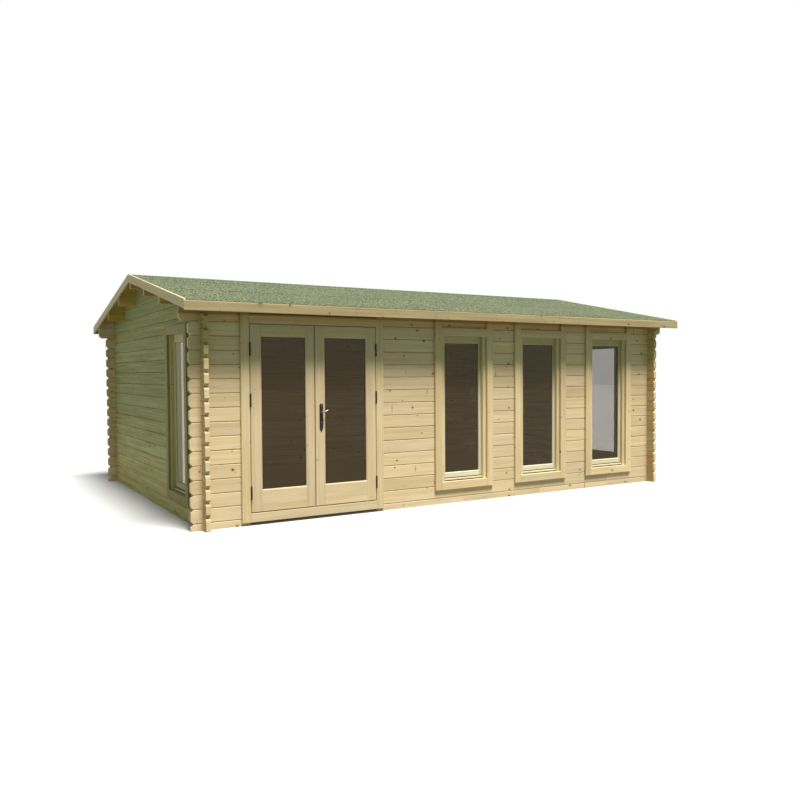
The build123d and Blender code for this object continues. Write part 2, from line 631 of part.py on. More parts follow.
def door_nodes():
    """Frame, leaves, panes, hinges and handle, moved to the doorway."""
    other_side = Plane.YZ
    pins = [frame_hinge(z) for z in HINGE_HEIGHTS]
    knuckles = [leaf_hinge(z) for z in HINGE_HEIGHTS]
    seats = [leaf_plate(z) for z in HINGE_HEIGHTS]
    outer, inner = (-PLATE_THICKNESS, 0), (LEAF_THICKNESS, LEAF_THICKNESS + PLATE_THICKNESS)
    spindle_hole = across(SPINDLE_RADIUS + SPINDLE_FIT, handle_x(), LEVER_Z, 0, LEAF_THICKNESS)
    nodes = door_frame_nodes()
    nodes["left_door_leaf"] = mirror(LEAF_PLACE * door_leaf(MEETING_SHIFT) - seats, about=other_side)
    nodes["right_door_leaf"] = LEAF_PLACE * (door_leaf(-MEETING_SHIFT) - spindle_hole) - seats
    nodes["left_door_glass"] = mirror(LEAF_PLACE * leaf_glass(MEETING_SHIFT), about=other_side)
    nodes["right_door_glass"] = LEAF_PLACE * leaf_glass(-MEETING_SHIFT)
    nodes["hinge_pins"] = pins + [mirror(pin, about=other_side) for pin in pins]
    nodes["left_door_knuckles"] = [mirror(knuckle, about=other_side) for knuckle in knuckles]
    nodes["right_door_knuckles"] = knuckles
    nodes["handle_plates"] = [LEAF_PLACE * handle_plate(outer), LEAF_PLACE * handle_plate(inner)]
    nodes["door_lever"] = LEAF_PLACE * door_lever()
    place = Pos(DOOR_CENTRE, -HALF_DEPTH, 0)
    return {name: [place * piece for piece in pieces] if isinstance(pieces, list) else place * pieces
            for name, pieces in nodes.items()}


def all_nodes():
    """Every piece of the cabin by its node name."""
    nodes = {**front_wall_nodes(), "rear_wall": rear_wall()}
    for side in ("left", "right"):
        nodes.update(gable_nodes(side))
    nodes.update(floor_nodes())
    nodes.update(roof_nodes())
    nodes.update(window_nodes())
    nodes.update(door_nodes())
    return nodes


for name, shape in all_nodes().items():
    export_step(Compound(children=shape) if isinstance(shape, list) else shape, f"parts/{name}.step")
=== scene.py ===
"""Looks of the log cabin: log walls, joinery, roof covering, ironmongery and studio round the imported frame.

Everything is in metres, +Z up, with the doors on the -Y side.
"""

import json
import logging
import math
import random
from dataclasses import dataclass
from enum import Enum
from typing import Any, Callable, Iterable, Sequence

import bmesh
import bpy
import numpy as np
from mathutils import Matrix, Vector, noise

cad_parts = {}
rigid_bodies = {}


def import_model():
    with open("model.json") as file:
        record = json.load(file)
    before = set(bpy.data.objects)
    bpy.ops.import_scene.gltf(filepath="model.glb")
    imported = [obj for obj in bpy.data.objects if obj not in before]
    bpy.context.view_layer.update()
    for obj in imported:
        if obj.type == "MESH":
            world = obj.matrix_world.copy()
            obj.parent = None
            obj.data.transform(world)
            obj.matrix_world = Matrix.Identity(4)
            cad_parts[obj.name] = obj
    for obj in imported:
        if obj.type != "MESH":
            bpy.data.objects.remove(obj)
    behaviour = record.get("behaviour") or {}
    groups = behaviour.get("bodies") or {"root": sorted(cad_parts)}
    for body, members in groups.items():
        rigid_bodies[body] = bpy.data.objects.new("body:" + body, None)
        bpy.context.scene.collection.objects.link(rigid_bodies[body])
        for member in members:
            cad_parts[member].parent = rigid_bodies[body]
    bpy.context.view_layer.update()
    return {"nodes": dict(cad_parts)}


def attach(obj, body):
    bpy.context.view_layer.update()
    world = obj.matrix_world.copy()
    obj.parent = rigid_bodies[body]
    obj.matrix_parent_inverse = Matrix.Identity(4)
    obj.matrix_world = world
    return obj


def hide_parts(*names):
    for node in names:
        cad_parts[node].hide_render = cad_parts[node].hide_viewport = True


for leftover in list(bpy.data.objects):
    bpy.data.objects.remove(leftover)
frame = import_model()

LOG = logging.getLogger("cabin")
Number = Any
Socket, Material, Piece = bpy.types.NodeSocket, bpy.types.Material, bpy.types.Object
Colour = tuple[float, float, float]

WALL_LENGTH, WALL_DEPTH = 6.0, 4.0
RIGHT, FRONT = WALL_LENGTH / 2, -WALL_DEPTH / 2
LOG_PITCH, LOG_THICKNESS = 0.134, 0.044
EAVES_LOG = 0.198
OPENING_BOTTOM, OPENING_TOP = 1.5 * LOG_PITCH, 14.5 * LOG_PITCH
WALL_HEIGHT = OPENING_TOP + EAVES_LOG
ROOF_PITCH = math.radians(11.7)
RUN, SLOPE = math.cos(ROOF_PITCH), math.tan(ROOF_PITCH)
WINDOW_XS = (-0.021, 1.0992, 2.226)
GABLE_WINDOW_Y = -1.21
DOOR_X = -1.8498
TRIM = 0.027
ROOF_X, ROOF_Y = 3.196, 2.247
BARGE_X, EAVES_Y = 3.216, 2.269
NAIL_PROUD = 0.0006
BOARD_DEEP, FELT_DEEP = 0.019, 0.003
BOARD_GAP = 0.0006
INNER_DEEP = 0.018
MITRE_EDGE, STEP_EDGE, FINE_EDGE, STOP_EDGE = 0.00005, 0.0005, 0.0008, 0.001
FRAME_EDGE, POST_EDGE = 0.0012, 0.0015
SASH_EDGE, LEAF_EDGE, TRIM_EDGE = 0.002, 0.0025, 0.003
SIDES = ((-1, "left"), (1, "right"))


def underside(y: float) -> float:
    """Height of the roof boards' underside at a distance y from the ridge line."""
    return WALL_HEIGHT + (WALL_DEPTH / 2 - abs(y)) * SLOPE


def deck(y: float) -> float:
    """Height of the roof boards' top at a distance y from the ridge line."""
    return underside(y) + BOARD_DEEP / RUN


TRIM_TOP = underside(WALL_DEPTH / 2 + TRIM) - 0.002
DOORWAY = Matrix.Translation((DOOR_X, FRONT, 0))


def linear(red: int, green: int, blue: int) -> Colour:
    """A display colour, 0 to 255, as the linear colour that a shader takes.

    Args:
        red, green, blue: its parts.

    Returns:
        The three linear parts.
    """
    def one(value: int) -> float:
        """One channel of the colour."""
        share = value / 255
        return share / 12.92 if share <= 0.04045 else ((share + 0.055) / 1.055) ** 2.4
    return one(red), one(green), one(blue)


# ---------------------------------------------------------------- node graphs

class Graph:
    """A node tree that is filled through one method."""

    def __init__(self, tree: bpy.types.NodeTree) -> None:
        """Empties the tree and keeps it."""
        self.tree = tree
        tree.nodes.clear()

    def node(self, kind: str, settings: dict[str, Any] | None = None,
             inputs: dict[Any, Any] | None = None) -> bpy.types.Node:
        """Adds a node.

        Args:
            kind: the node's type name.
            settings: attributes set first; "stops" holds a ramp's (position, colour) pairs.
            inputs: socket name, index or identifier to a value, a socket or a Value.

        Returns:
            The new node.
        """
        made = self.tree.nodes.new(kind)
        for key, value in (settings or {}).items():
            if key == "stops":
                self._stops(made.color_ramp, value)
            else:
                setattr(made, key, value)
        for key, value in (inputs or {}).items():
            socket = self._socket(made, key)
            source = value.socket if isinstance(value, Value) else value
            if isinstance(source, Socket):
                self.tree.links.new(source, socket)
            else:
                socket.default_value = source
        return made

    @staticmethod
    def _socket(made: bpy.types.Node, key: Any) -> Socket:
        """The input that key names: an index, an identifier or a name.

        Args:
            made: node that has the input.
            key: what names it.

        Returns:
            The input.
        """
        if isinstance(key, int):
            return made.inputs[key]
        for socket in made.inputs:
            if socket.identifier == key:
                return socket
        return made.inputs[key]

    @staticmethod
    def _stops(ramp: bpy.types.ColorRamp, stops: Sequence[tuple[float, Sequence[float]]]) -> None:
        """Sets a colour ramp's stops.

        Args:
            ramp: the colour ramp.
            stops: position and colour of each stop, in order.
        """
        while len(ramp.elements) > 1:
            ramp.elements.remove(ramp.elements[-1])
        for index, (position, colour) in enumerate(stops):
            element = ramp.elements[0] if index == 0 else ramp.elements.new(position)
            element.position = position
            element.color = (*colour, 1.0)


class Value:
    """A number socket that takes part in Python sums."""

    def __init__(self, graph: "Shader", socket: Socket) -> None:
        """Wraps one output socket."""
        self.graph, self.socket = graph, socket

    def _math(self, operation: str, *operands: Number, clamp: bool = False) -> "Value":
        """Adds one Math node and wraps its result."""
        made = self.graph.node("ShaderNodeMath", {"operation": operation, "use_clamp": clamp},
                               dict(enumerate(operands)))
        return Value(self.graph, made.outputs[0])

    def __add__(self, other: Number) -> "Value":
        """self + other."""
        return self._math("ADD", self, other)

    def __radd__(self, other: Number) -> "Value":
        """other + self."""
        return self._math("ADD", other, self)

    def __sub__(self, other: Number) -> "Value":
        """self - other."""
        return self._math("SUBTRACT", self, other)

    def __rsub__(self, other: Number) -> "Value":
        """other - self."""
        return self._math("SUBTRACT", other, self)

    def __mul__(self, other: Number) -> "Value":
        """self * other."""
        return self._math("MULTIPLY", self, other)

    def __rmul__(self, other: Number) -> "Value":
        """other * self."""
        return self._math("MULTIPLY", other, self)

    def __truediv__(self, other: Number) -> "Value":
        """self / other."""
        return self._math("DIVIDE", self, other)

    def __abs__(self) -> "Value":
        """abs(self)."""
        return self._math("ABSOLUTE", self)

    def __gt__(self, other: Number) -> "Value":
        """1 where self is above other, else 0."""
        return self._math("GREATER_THAN", self, other)

    def floor(self) -> "Value":
        """The whole number at or below self."""
        return self._math("FLOOR", self)

    def sine(self) -> "Value":
        """The sine of self, in radians."""
        return self._math("SINE", self)

    def root(self) -> "Value":
        """The square root of self."""
        return self._math("SQRT", self)

    def clamp(self) -> "Value":
        """self held between 0 and 1."""
        return self._math("ADD", self, 0.0, clamp=True)

    def step(self, low: Number, high: Number) -> "Value":
        """0 below low and 1 above high, smooth between them."""
        made = self.graph.node("ShaderNodeMapRange", {"interpolation_type": "SMOOTHSTEP"},
                               {"Value": self, "From Min": low, "From Max": high})
        return Value(self.graph, made.outputs[0])


class Shader(Graph):
    """A material being built, with short words for what its finishes need."""

    def __init__(self, name: str) -> None:
        """Makes an empty node material."""
        self.material = bpy.data.materials.new(name)
        self.material.use_nodes = True
        super().__init__(self.material.node_tree)

    def value(self, made: bpy.types.Node, output: Any = 0) -> Value:
        """A node's output as a Value."""
        return Value(self, made.outputs[output])

    def vector(self, x: Number, y: Number, z: Number) -> Socket:
        """Three numbers as a vector socket."""
        return self.node("ShaderNodeCombineXYZ", {}, {0: x, 1: y, 2: z}).outputs[0]

    def split(self, vector: Socket) -> tuple[Value, Value, Value]:
        """A vector's three parts."""
        made = self.node("ShaderNodeSeparateXYZ", {}, {0: vector})
        return self.value(made, 0), self.value(made, 1), self.value(made, 2)

    def place(self) -> tuple[Value, Value, Value]:
        """Object coordinates."""
        return self.split(self.node("ShaderNodeTexCoord").outputs["Object"])

    def facing(self) -> tuple[Value, Value, Value]:
        """The surface's normal in the object's own axes."""
        return self.split(self.node("ShaderNodeTexCoord").outputs["Normal"])

    def attribute(self, name: str) -> bpy.types.Node:
        """The attribute node of a name."""
        return self.node("ShaderNodeAttribute", {"attribute_name": name})

    def noise(self, vector: Socket, scale: float, detail: float = 3.0,
              roughness: float = 0.5) -> Value:
        """Smooth noise about 0.5.

        Args:
            vector: where it is read.
            scale: waves per metre of the vector.
            detail: octaves.
            roughness: how strong the finer octaves are.

        Returns:
            The noise value.
        """
        made = self.node("ShaderNodeTexNoise", {}, {"Vector": vector, "Scale": scale, "Detail": detail,
                                                    "Roughness": roughness})
        return self.value(made, 0)

    def chance(self, *parts: Number) -> tuple[Value, Value, Value]:
        """Three random numbers that depend on up to three numbers."""
        padded = [*parts, 0.0, 0.0][:3]
        made = self.node("ShaderNodeTexWhiteNoise", {}, {"Vector": self.vector(*padded)})
        return self.split(made.outputs["Color"])

    def mix(self, share: Number, one: Any, other: Any, blend: str = "MIX") -> Socket:
        """Two colours mixed; share 0 gives one and 1 gives other.

        Args:
            share: how much of the second colour shows.
            one: first colour.
            other: second colour.
            blend: the node's blend type.

        Returns:
            The mixed colour's socket.
        """
        colours = [(*c, 1.0) if isinstance(c, tuple) else c for c in (one, other)]
        made = self.node("ShaderNodeMix", {"data_type": "RGBA", "blend_type": blend},
                         {"Factor_Float": share, "A_Color": colours[0], "B_Color": colours[1]})
        return next(s for s in made.outputs if s.identifier == "Result_Color")

    def bump(self, height: Value, distance: float, strength: float = 1.0) -> Socket:
        """A normal from a height."""
        inputs = {"Height": height, "Distance": distance, "Strength": strength}
        return self.node("ShaderNodeBump", {}, inputs).outputs[0]

    def finish(self, colour: Any, roughness: Any, normal: Socket | None = None,
               **constants: Any) -> Material:
        """Ends the tree in a Principled shader.

        Args:
            colour: base colour, a socket or a linear colour.
            roughness: a Value or a number.
            normal: a bump's normal, if any.
            constants: other inputs by name, spaces written as underscores.

        Returns:
            The finished material.
        """
        base = (*colour, 1.0) if isinstance(colour, tuple) else colour
        inputs = {"Base Color": base, "Roughness": roughness}
        if normal is not None:
            inputs["Normal"] = normal
        inputs.update({key.replace("_", " "): value for key, value in constants.items()})
        made = self.node("ShaderNodeBsdfPrincipled", {}, inputs)
        self.node("ShaderNodeOutputMaterial", {}, {"Surface": made.outputs[0]})
        return self.material


# ---------------------------------------------------------------- finishes

class Grain(Enum):
    """Where a timber's grain runs."""

    BOARDS = "read from the board's own attribute"
    ALONG_X = "walls whose logs lie along X"
    ALONG_Y = "walls whose logs lie along Y"


class Reach(Enum):
    """Which faces of a wall a tint reaches."""

    ALL = "every face"
    SHELTERED = "all but the front log ends"
    FRONT_ENDS = "the front log ends alone"


@dataclass(frozen=True)
class Band:
    """A tint that timber takes all over, past a height, or past a distance from the middle plane across X."""

    tint: Colour
    above: float | None = None
    spread: float = 0.12
    share: float = 1.0
    below: bool = False
    across: bool = False
    reach: Reach = Reach.ALL


@dataclass(frozen=True)
class Timber:
    """Planed softwood with growth rings, fibres, streaks and knots."""

    pale: Colour = linear(229, 209, 168)
    warm: Colour = linear(208, 183, 139)
    late: Colour = linear(176, 142, 92)
    knot: Colour = linear(76, 50, 28)
    bands: tuple[Band, ...] = ()
    # Colour laid over the log joints and, as painted shade, over faces that look up.
    seam_and_painted_top_shade: Colour = (0.66, 0.57, 0.44)
    cut: Colour = linear(238, 226, 188)
    ring_width: float = 0.0062
    ring_share: float = 0.34
    streak_share: float = 0.8
    knot_spacing: float = 0.24
    knot_height: float = 0.11
    knot_size: float = 0.0105
    knot_share: float = 0.62
    hue: float = 0.12
    roughness: float = 0.62
    gloss: float = 0.5
    seed: float = 0.0

    def material(self, name: str, grain: Grain, first_joint: float = 0.0,
                 breaks: Sequence[float] = (), middle: float = 0.0) -> Material:
        """Builds the material.

        Args:
            name: its name.
            grain: how the grain's direction is found.
            first_joint: height of a log joint, for walls.
            breaks: places along the wall where the logs are interrupted.
            middle: the wall's middle plane across its thickness.

        Returns:
            The finished material.
        """
        s = Shader(name)
        if grain is Grain.BOARDS:
            along, wide, deep = s.split(s.attribute("grain").outputs["Vector"])
            tone_a, tone_b, tone_c = s.chance(s.value(s.attribute("tone"), "Fac"), self.seed)
            end = s.value(s.attribute("end"), "Fac")
            height = s.place()[2]
            cover, seam_and_painted_top_shade = 1.0 - end, None
        else:
            along, wide, deep, tone_a, tone_b, tone_c, end, height, cover, seam_and_painted_top_shade = self._log(
                s, grain, first_joint, breaks, middle)
        return self._surface(s, along, wide, deep, (tone_a, tone_b, tone_c), end, height, cover, seam_and_painted_top_shade)

    def boards(self, name: str) -> Material:
        """The material of boards, whose grain is their own."""
        return self.material(name, Grain.BOARDS)

    def _log(self, s: Shader, grain: Grain, first_joint: float, breaks: Sequence[float],
             middle: float) -> tuple[Value, ...]:
        """Grain coordinates, random tones, cover of the tints, and joint lines with painted shade on
        up-facing faces, of the logs of one wall.

        Args:
            s: the material being built.
            grain: which way the logs lie.
            first_joint: height of a log joint.
            breaks: places where the logs are interrupted.
            middle: the wall's middle plane across its thickness.

        Returns:
            Three grain coordinates, three tones, end face, height, cover, and the joints with painted shade
            on up-facing faces.
        """
        x, y, z = s.place()
        nx, ny, nz = s.facing()
        along, deep, side = (x, y, nx) if grain is Grain.ALONG_X else (y, x, ny)
        course = ((z - first_joint) / LOG_PITCH).floor()
        bay: Number = self.seed
        for place in breaks:
            bay = (along > place) + bay
        tone_a, tone_b, tone_c = s.chance(course, bay, 3.7)
        wide = z - first_joint - (course + 0.5) * LOG_PITCH
        end = (abs(side)).step(0.8, 0.95)
        cover = 1.0 - end
        if grain is Grain.ALONG_Y:
            cover = cover * y.step(FRONT - 0.01, FRONT + 0.01)
        fray = s.noise(s.vector(along * 9.0, course * 3.1, 0.0), 1.0, 3.0, 0.6)
        half = LOG_PITCH / 2
        seam_and_painted_top_shade = abs(wide).step(half - 0.0062 + fray * 0.004, half - 0.0005) * (0.3 + fray * 0.8)
        # Painted shade: faces that look up, such as the log chamfers, are darkened against the extra light
        # they catch.
        seam_and_painted_top_shade = (seam_and_painted_top_shade * cover + nz.step(0.2, 0.6) * 0.35).clamp()
        return (along + tone_a * 31.0 + course * 1.7, wide + (tone_b - 0.5) * 0.09,
                deep - middle + (tone_c - 0.5) * 0.05 - 0.045, tone_a, tone_b, tone_c, end, z, cover, seam_and_painted_top_shade)

    def _surface(self, s: Shader, along: Value, wide: Value, deep: Value, tones: tuple[Value, Value, Value],
                 end: Value, height: Value, cover: Value, seam_and_painted_top_shade: Value | None) -> Material:
        """Colour, roughness and bump from grain coordinates.

        Args:
            s: the material being built.
            along: place along the grain.
            wide: place across the face.
            deep: place across the thickness.
            tones: three random numbers of the board.
            end: 1 on end faces.
            height: height above the ground.
            cover: where sheltered tints reach.
            seam_and_painted_top_shade: 1 in the joints of logs, and painted shade on faces that look up, if
                any.

        Returns:
            The finished material.
        """
        knot, halo, drift = self._knots(s, along, wide, tones[0])
        wander = s.noise(s.vector(along * 0.7, wide * 5.0, deep * 5.0), 1.0, 2.0) - 0.5
        across = wide + drift + wander * 0.02
        radius = ((across * across) + (deep * deep)).root() + wander * 0.016
        ring = (radius * (2 * math.pi / self.ring_width)).sine() * 0.5 + 0.5
        ring = ring * ring
        fibre = s.noise(s.vector(along * 6.0, across * 420.0, deep * 420.0), 1.0, 2.0)
        streak = s.noise(s.vector(along * 0.9, across * 26.0, deep * 26.0), 1.0, 3.0, 0.6).step(0.3, 0.72)
        cloud = s.noise(s.vector(along * 2.2, wide * 7.0, deep * 7.0), 1.0, 2.0)
        colour = s.mix(streak * self.streak_share, self.pale, self.warm)
        colour = s.mix(ring * self.ring_share * (0.5 + streak * 0.6), colour, self.late)
        colour = s.mix((fibre - 0.5).clamp() * 0.5, colour, self.late)
        colour = s.mix(end * 0.55, colour, self.cut)
        colour = s.mix(end * ring * 0.3, colour, self.late)
        colour = s.mix(halo * 0.55, colour, self.late)
        colour = s.mix(knot, colour, self.knot)
        if seam_and_painted_top_shade is not None:
            colour = s.mix(seam_and_painted_top_shade, colour, self.seam_and_painted_top_shade, "MULTIPLY")
        for band in self.bands:
            share = (cloud * 0.5 + 0.75) * band.share
            if band.reach is not Reach.ALL:
                share = share * (cover if band.reach is Reach.SHELTERED else 1.0 - cover)
            if band.above is not None:
                measured = abs(s.place()[0]) if band.across else height
                reached = measured.step(band.above - band.spread, band.above + band.spread)
                share = (1.0 - reached if band.below else reached) * share
            colour = s.mix(share, colour, band.tint, "MULTIPLY")
        light = 0.86 + tones[1] * 0.14 + (cloud - 0.5) * 0.2
        green = light * (0.995 + (tones[2] - 0.5) * self.hue * 0.25)
        blue = light * (0.99 + (tones[2] - 0.5) * self.hue)
        colour = s.mix(1.0, colour, s.vector(light, green, blue), "MULTIPLY")
        relief = ring * 0.5 + fibre * 0.5 - knot * 0.8
        return s.finish(colour, (fibre * 0.12 + ring * 0.08 + (self.roughness - 0.1)),
                        s.bump(relief, 0.0005, 0.6), IOR=1.45, Specular_IOR_Level=self.gloss)

    def _knots(self, s: Shader, along: Value, wide: Value, tone: Value) -> tuple[Value, Value, Value]:
        """Knots with their halo and the grain's drift round them.

        Args:
            s: the material being built.
            along: place along the grain.
            wide: place across the face.
            tone: random number of the board.

        Returns:
            The knot, its halo and how far the grain drifts.
        """
        u, v = along / self.knot_spacing, wide / self.knot_height + tone * 5.0
        cells = s.node("ShaderNodeTexVoronoi", {"voronoi_dimensions": "2D"},
                       {"Vector": s.vector(u, v, 0.0), "Scale": 1.0, "Randomness": 0.9})
        pu, pv, _ = s.split(cells.outputs["Position"])
        size, present, shape = s.split(cells.outputs["Color"])
        du, dv = (u - pu) * self.knot_spacing, (v - pv) * self.knot_height
        spike = (shape > 0.88) * 2.4 + 1.0
        shown = present > (1.0 - self.knot_share)
        radius = (size * size * 0.75 + 0.25) * self.knot_size * shown + 0.0001
        wobble = s.noise(s.vector(du * 60.0, dv * 60.0, size * 9.0), 1.0, 1.0) * 0.5 + 0.75
        distance = ((du * du * spike * spike * 0.8) + (dv * dv) / (spike * spike)).root() * wobble
        knot = 1.0 - distance.step(radius * 0.75, radius * 1.2)
        tail = (1.0 - abs(dv).step(0.0005, radius * 0.45)) * (1.0 - abs(du).step(radius, radius * 6.0))
        halo = (1.0 - distance.step(radius * 0.9, radius * 2.8)).clamp() * shown + tail * shown * 0.7
        drift = dv * (1.0 - distance.step(0.0, radius * 4.0)) * 0.8
        return (knot * shown).clamp(), halo.clamp(), drift


@dataclass(frozen=True)
class Felt:
    """Roofing felt faced with green mineral granules."""

    base: Colour = linear(52, 63, 40)
    light: Colour = linear(128, 137, 103)
    dark: Colour = linear(24, 33, 18)
    seed: float = 4.0

    def material(self, name: str) -> Material:
        """Builds the material.

        Args:
            name: name that it gets.

        Returns:
            The material.
        """
        s = Shader(name)
        x, y, z = s.place()
        where = s.vector(x, y, z + self.seed)
        grit = s.node("ShaderNodeTexVoronoi", {}, {"Vector": where, "Scale": 520.0})
        one, two, _ = s.split(grit.outputs["Color"])
        clump = s.noise(s.vector(x, y * 0.4, z * 0.4 + self.seed), 74.0, 2.0, 0.6)
        drift = s.noise(where, 1.6, 3.0)
        colour = s.mix(clump.step(0.48, 0.55), self.base, self.light)
        colour = s.mix((0.48 - clump).clamp() * 9.0, colour, self.dark)
        colour = s.mix((one > 0.7) * 0.5, colour, self.light)
        colour = s.mix((two > 0.72) * 0.55, colour, self.dark)
        colour = s.mix((drift - 0.4).clamp() * 0.5, colour, self.dark)
        height = s.value(grit, "Distance") * -0.6 + clump * 1.4
        return s.finish(colour, one * 0.1 + 0.86, s.bump(height, 0.0016, 0.8), Specular_IOR_Level=0.25)


@dataclass(frozen=True)
class Pane:
    """Clear glass, slightly brown, with a film of dust, that hides more at a slant and turns pale there, a
    painted reflection.
    """

    tint: Colour = linear(46, 36, 22)
    gleam: Colour = (1.0, 0.79, 0.5)
    hidden: float = 0.30
    slant: float = 0.5
    painted_slant_reflection: Colour = linear(252, 238, 214)
    index: float = 1.56
    seed: float = 0.0

    def material(self, name: str) -> Material:
        """Builds the material.

        Args:
            name: name that it gets.

        Returns:
            The material.
        """
        s = Shader(name)
        x, y, z = s.place()
        where = s.vector(x + self.seed, y, z)
        film = s.noise(where, 5.0, 4.0, 0.6)
        specks = s.noise(where, 160.0, 1.0)
        dust = film.step(0.5, 0.8) * 0.05 + specks.step(0.68, 0.8) * 0.06
        colour = s.mix(dust * 2.0, self.tint, linear(150, 146, 132))
        # Painted reflection: at a slant the pane's colour turns pale, standing in for the bright surroundings
        # that it would reflect.
        slant = s.value(s.node("ShaderNodeLayerWeight", {}, {"Blend": 0.5}), "Facing").step(0.42, 0.78)
        colour = s.mix(slant, colour, self.painted_slant_reflection)
        hidden = (slant * self.slant + dust * 0.6 + self.hidden).clamp()
        material = s.finish(colour, dust * 0.8 + 0.03, None, Alpha=hidden, IOR=self.index,
                            Specular_IOR_Level=1.0, Specular_Tint=(*self.gleam, 1.0))
        material.surface_render_method = "BLENDED"
        return material


@dataclass(frozen=True)
class Metal:
    """Painted, brushed or zinc-coated metal with worn places."""

    base: Colour
    worn: Colour
    metallic: float
    roughness: float
    wear: float = 0.3
    brush: float = 0.0

    def material(self, name: str) -> Material:
        """Builds the material.

        Args:
            name: name that it gets.

        Returns:
            The material.
        """
        s = Shader(name)
        x, y, z = s.place()
        where = s.vector(x, y, z)
        cloud = s.noise(where, 28.0, 4.0, 0.6)
        grain = s.noise(s.vector(x * 30.0, y * 900.0, z * 900.0), 1.0, 2.0)
        pits = s.noise(where, 700.0, 2.0)
        worn = cloud.step(0.55, 0.8) * self.wear
        colour = s.mix(worn, self.base, self.worn)
        rough = cloud * 0.2 + (self.roughness - 0.1) + grain * self.brush * 0.2
        height = pits * 0.4 + grain * self.brush
        return s.finish(colour, rough, s.bump(height, 0.0002, 0.5), Metallic=self.metallic)


@dataclass(frozen=True)
class Rubber:
    """Dark rubber of the glazing seals and of the strips that paint shadow in gaps."""

    base: Colour = linear(42, 34, 24)

    def material(self, name: str) -> Material:
        """Builds the material.

        Args:
            name: name that it gets.

        Returns:
            The material.
        """
        s = Shader(name)
        x, y, z = s.place()
        bloom = s.noise(s.vector(x, y, z), 60.0, 3.0)
        colour = s.mix(bloom.step(0.4, 0.8) * 0.3, self.base, linear(84, 80, 72))
        return s.finish(colour, bloom * 0.2 + 0.6, s.bump(bloom, 0.0003, 0.5))


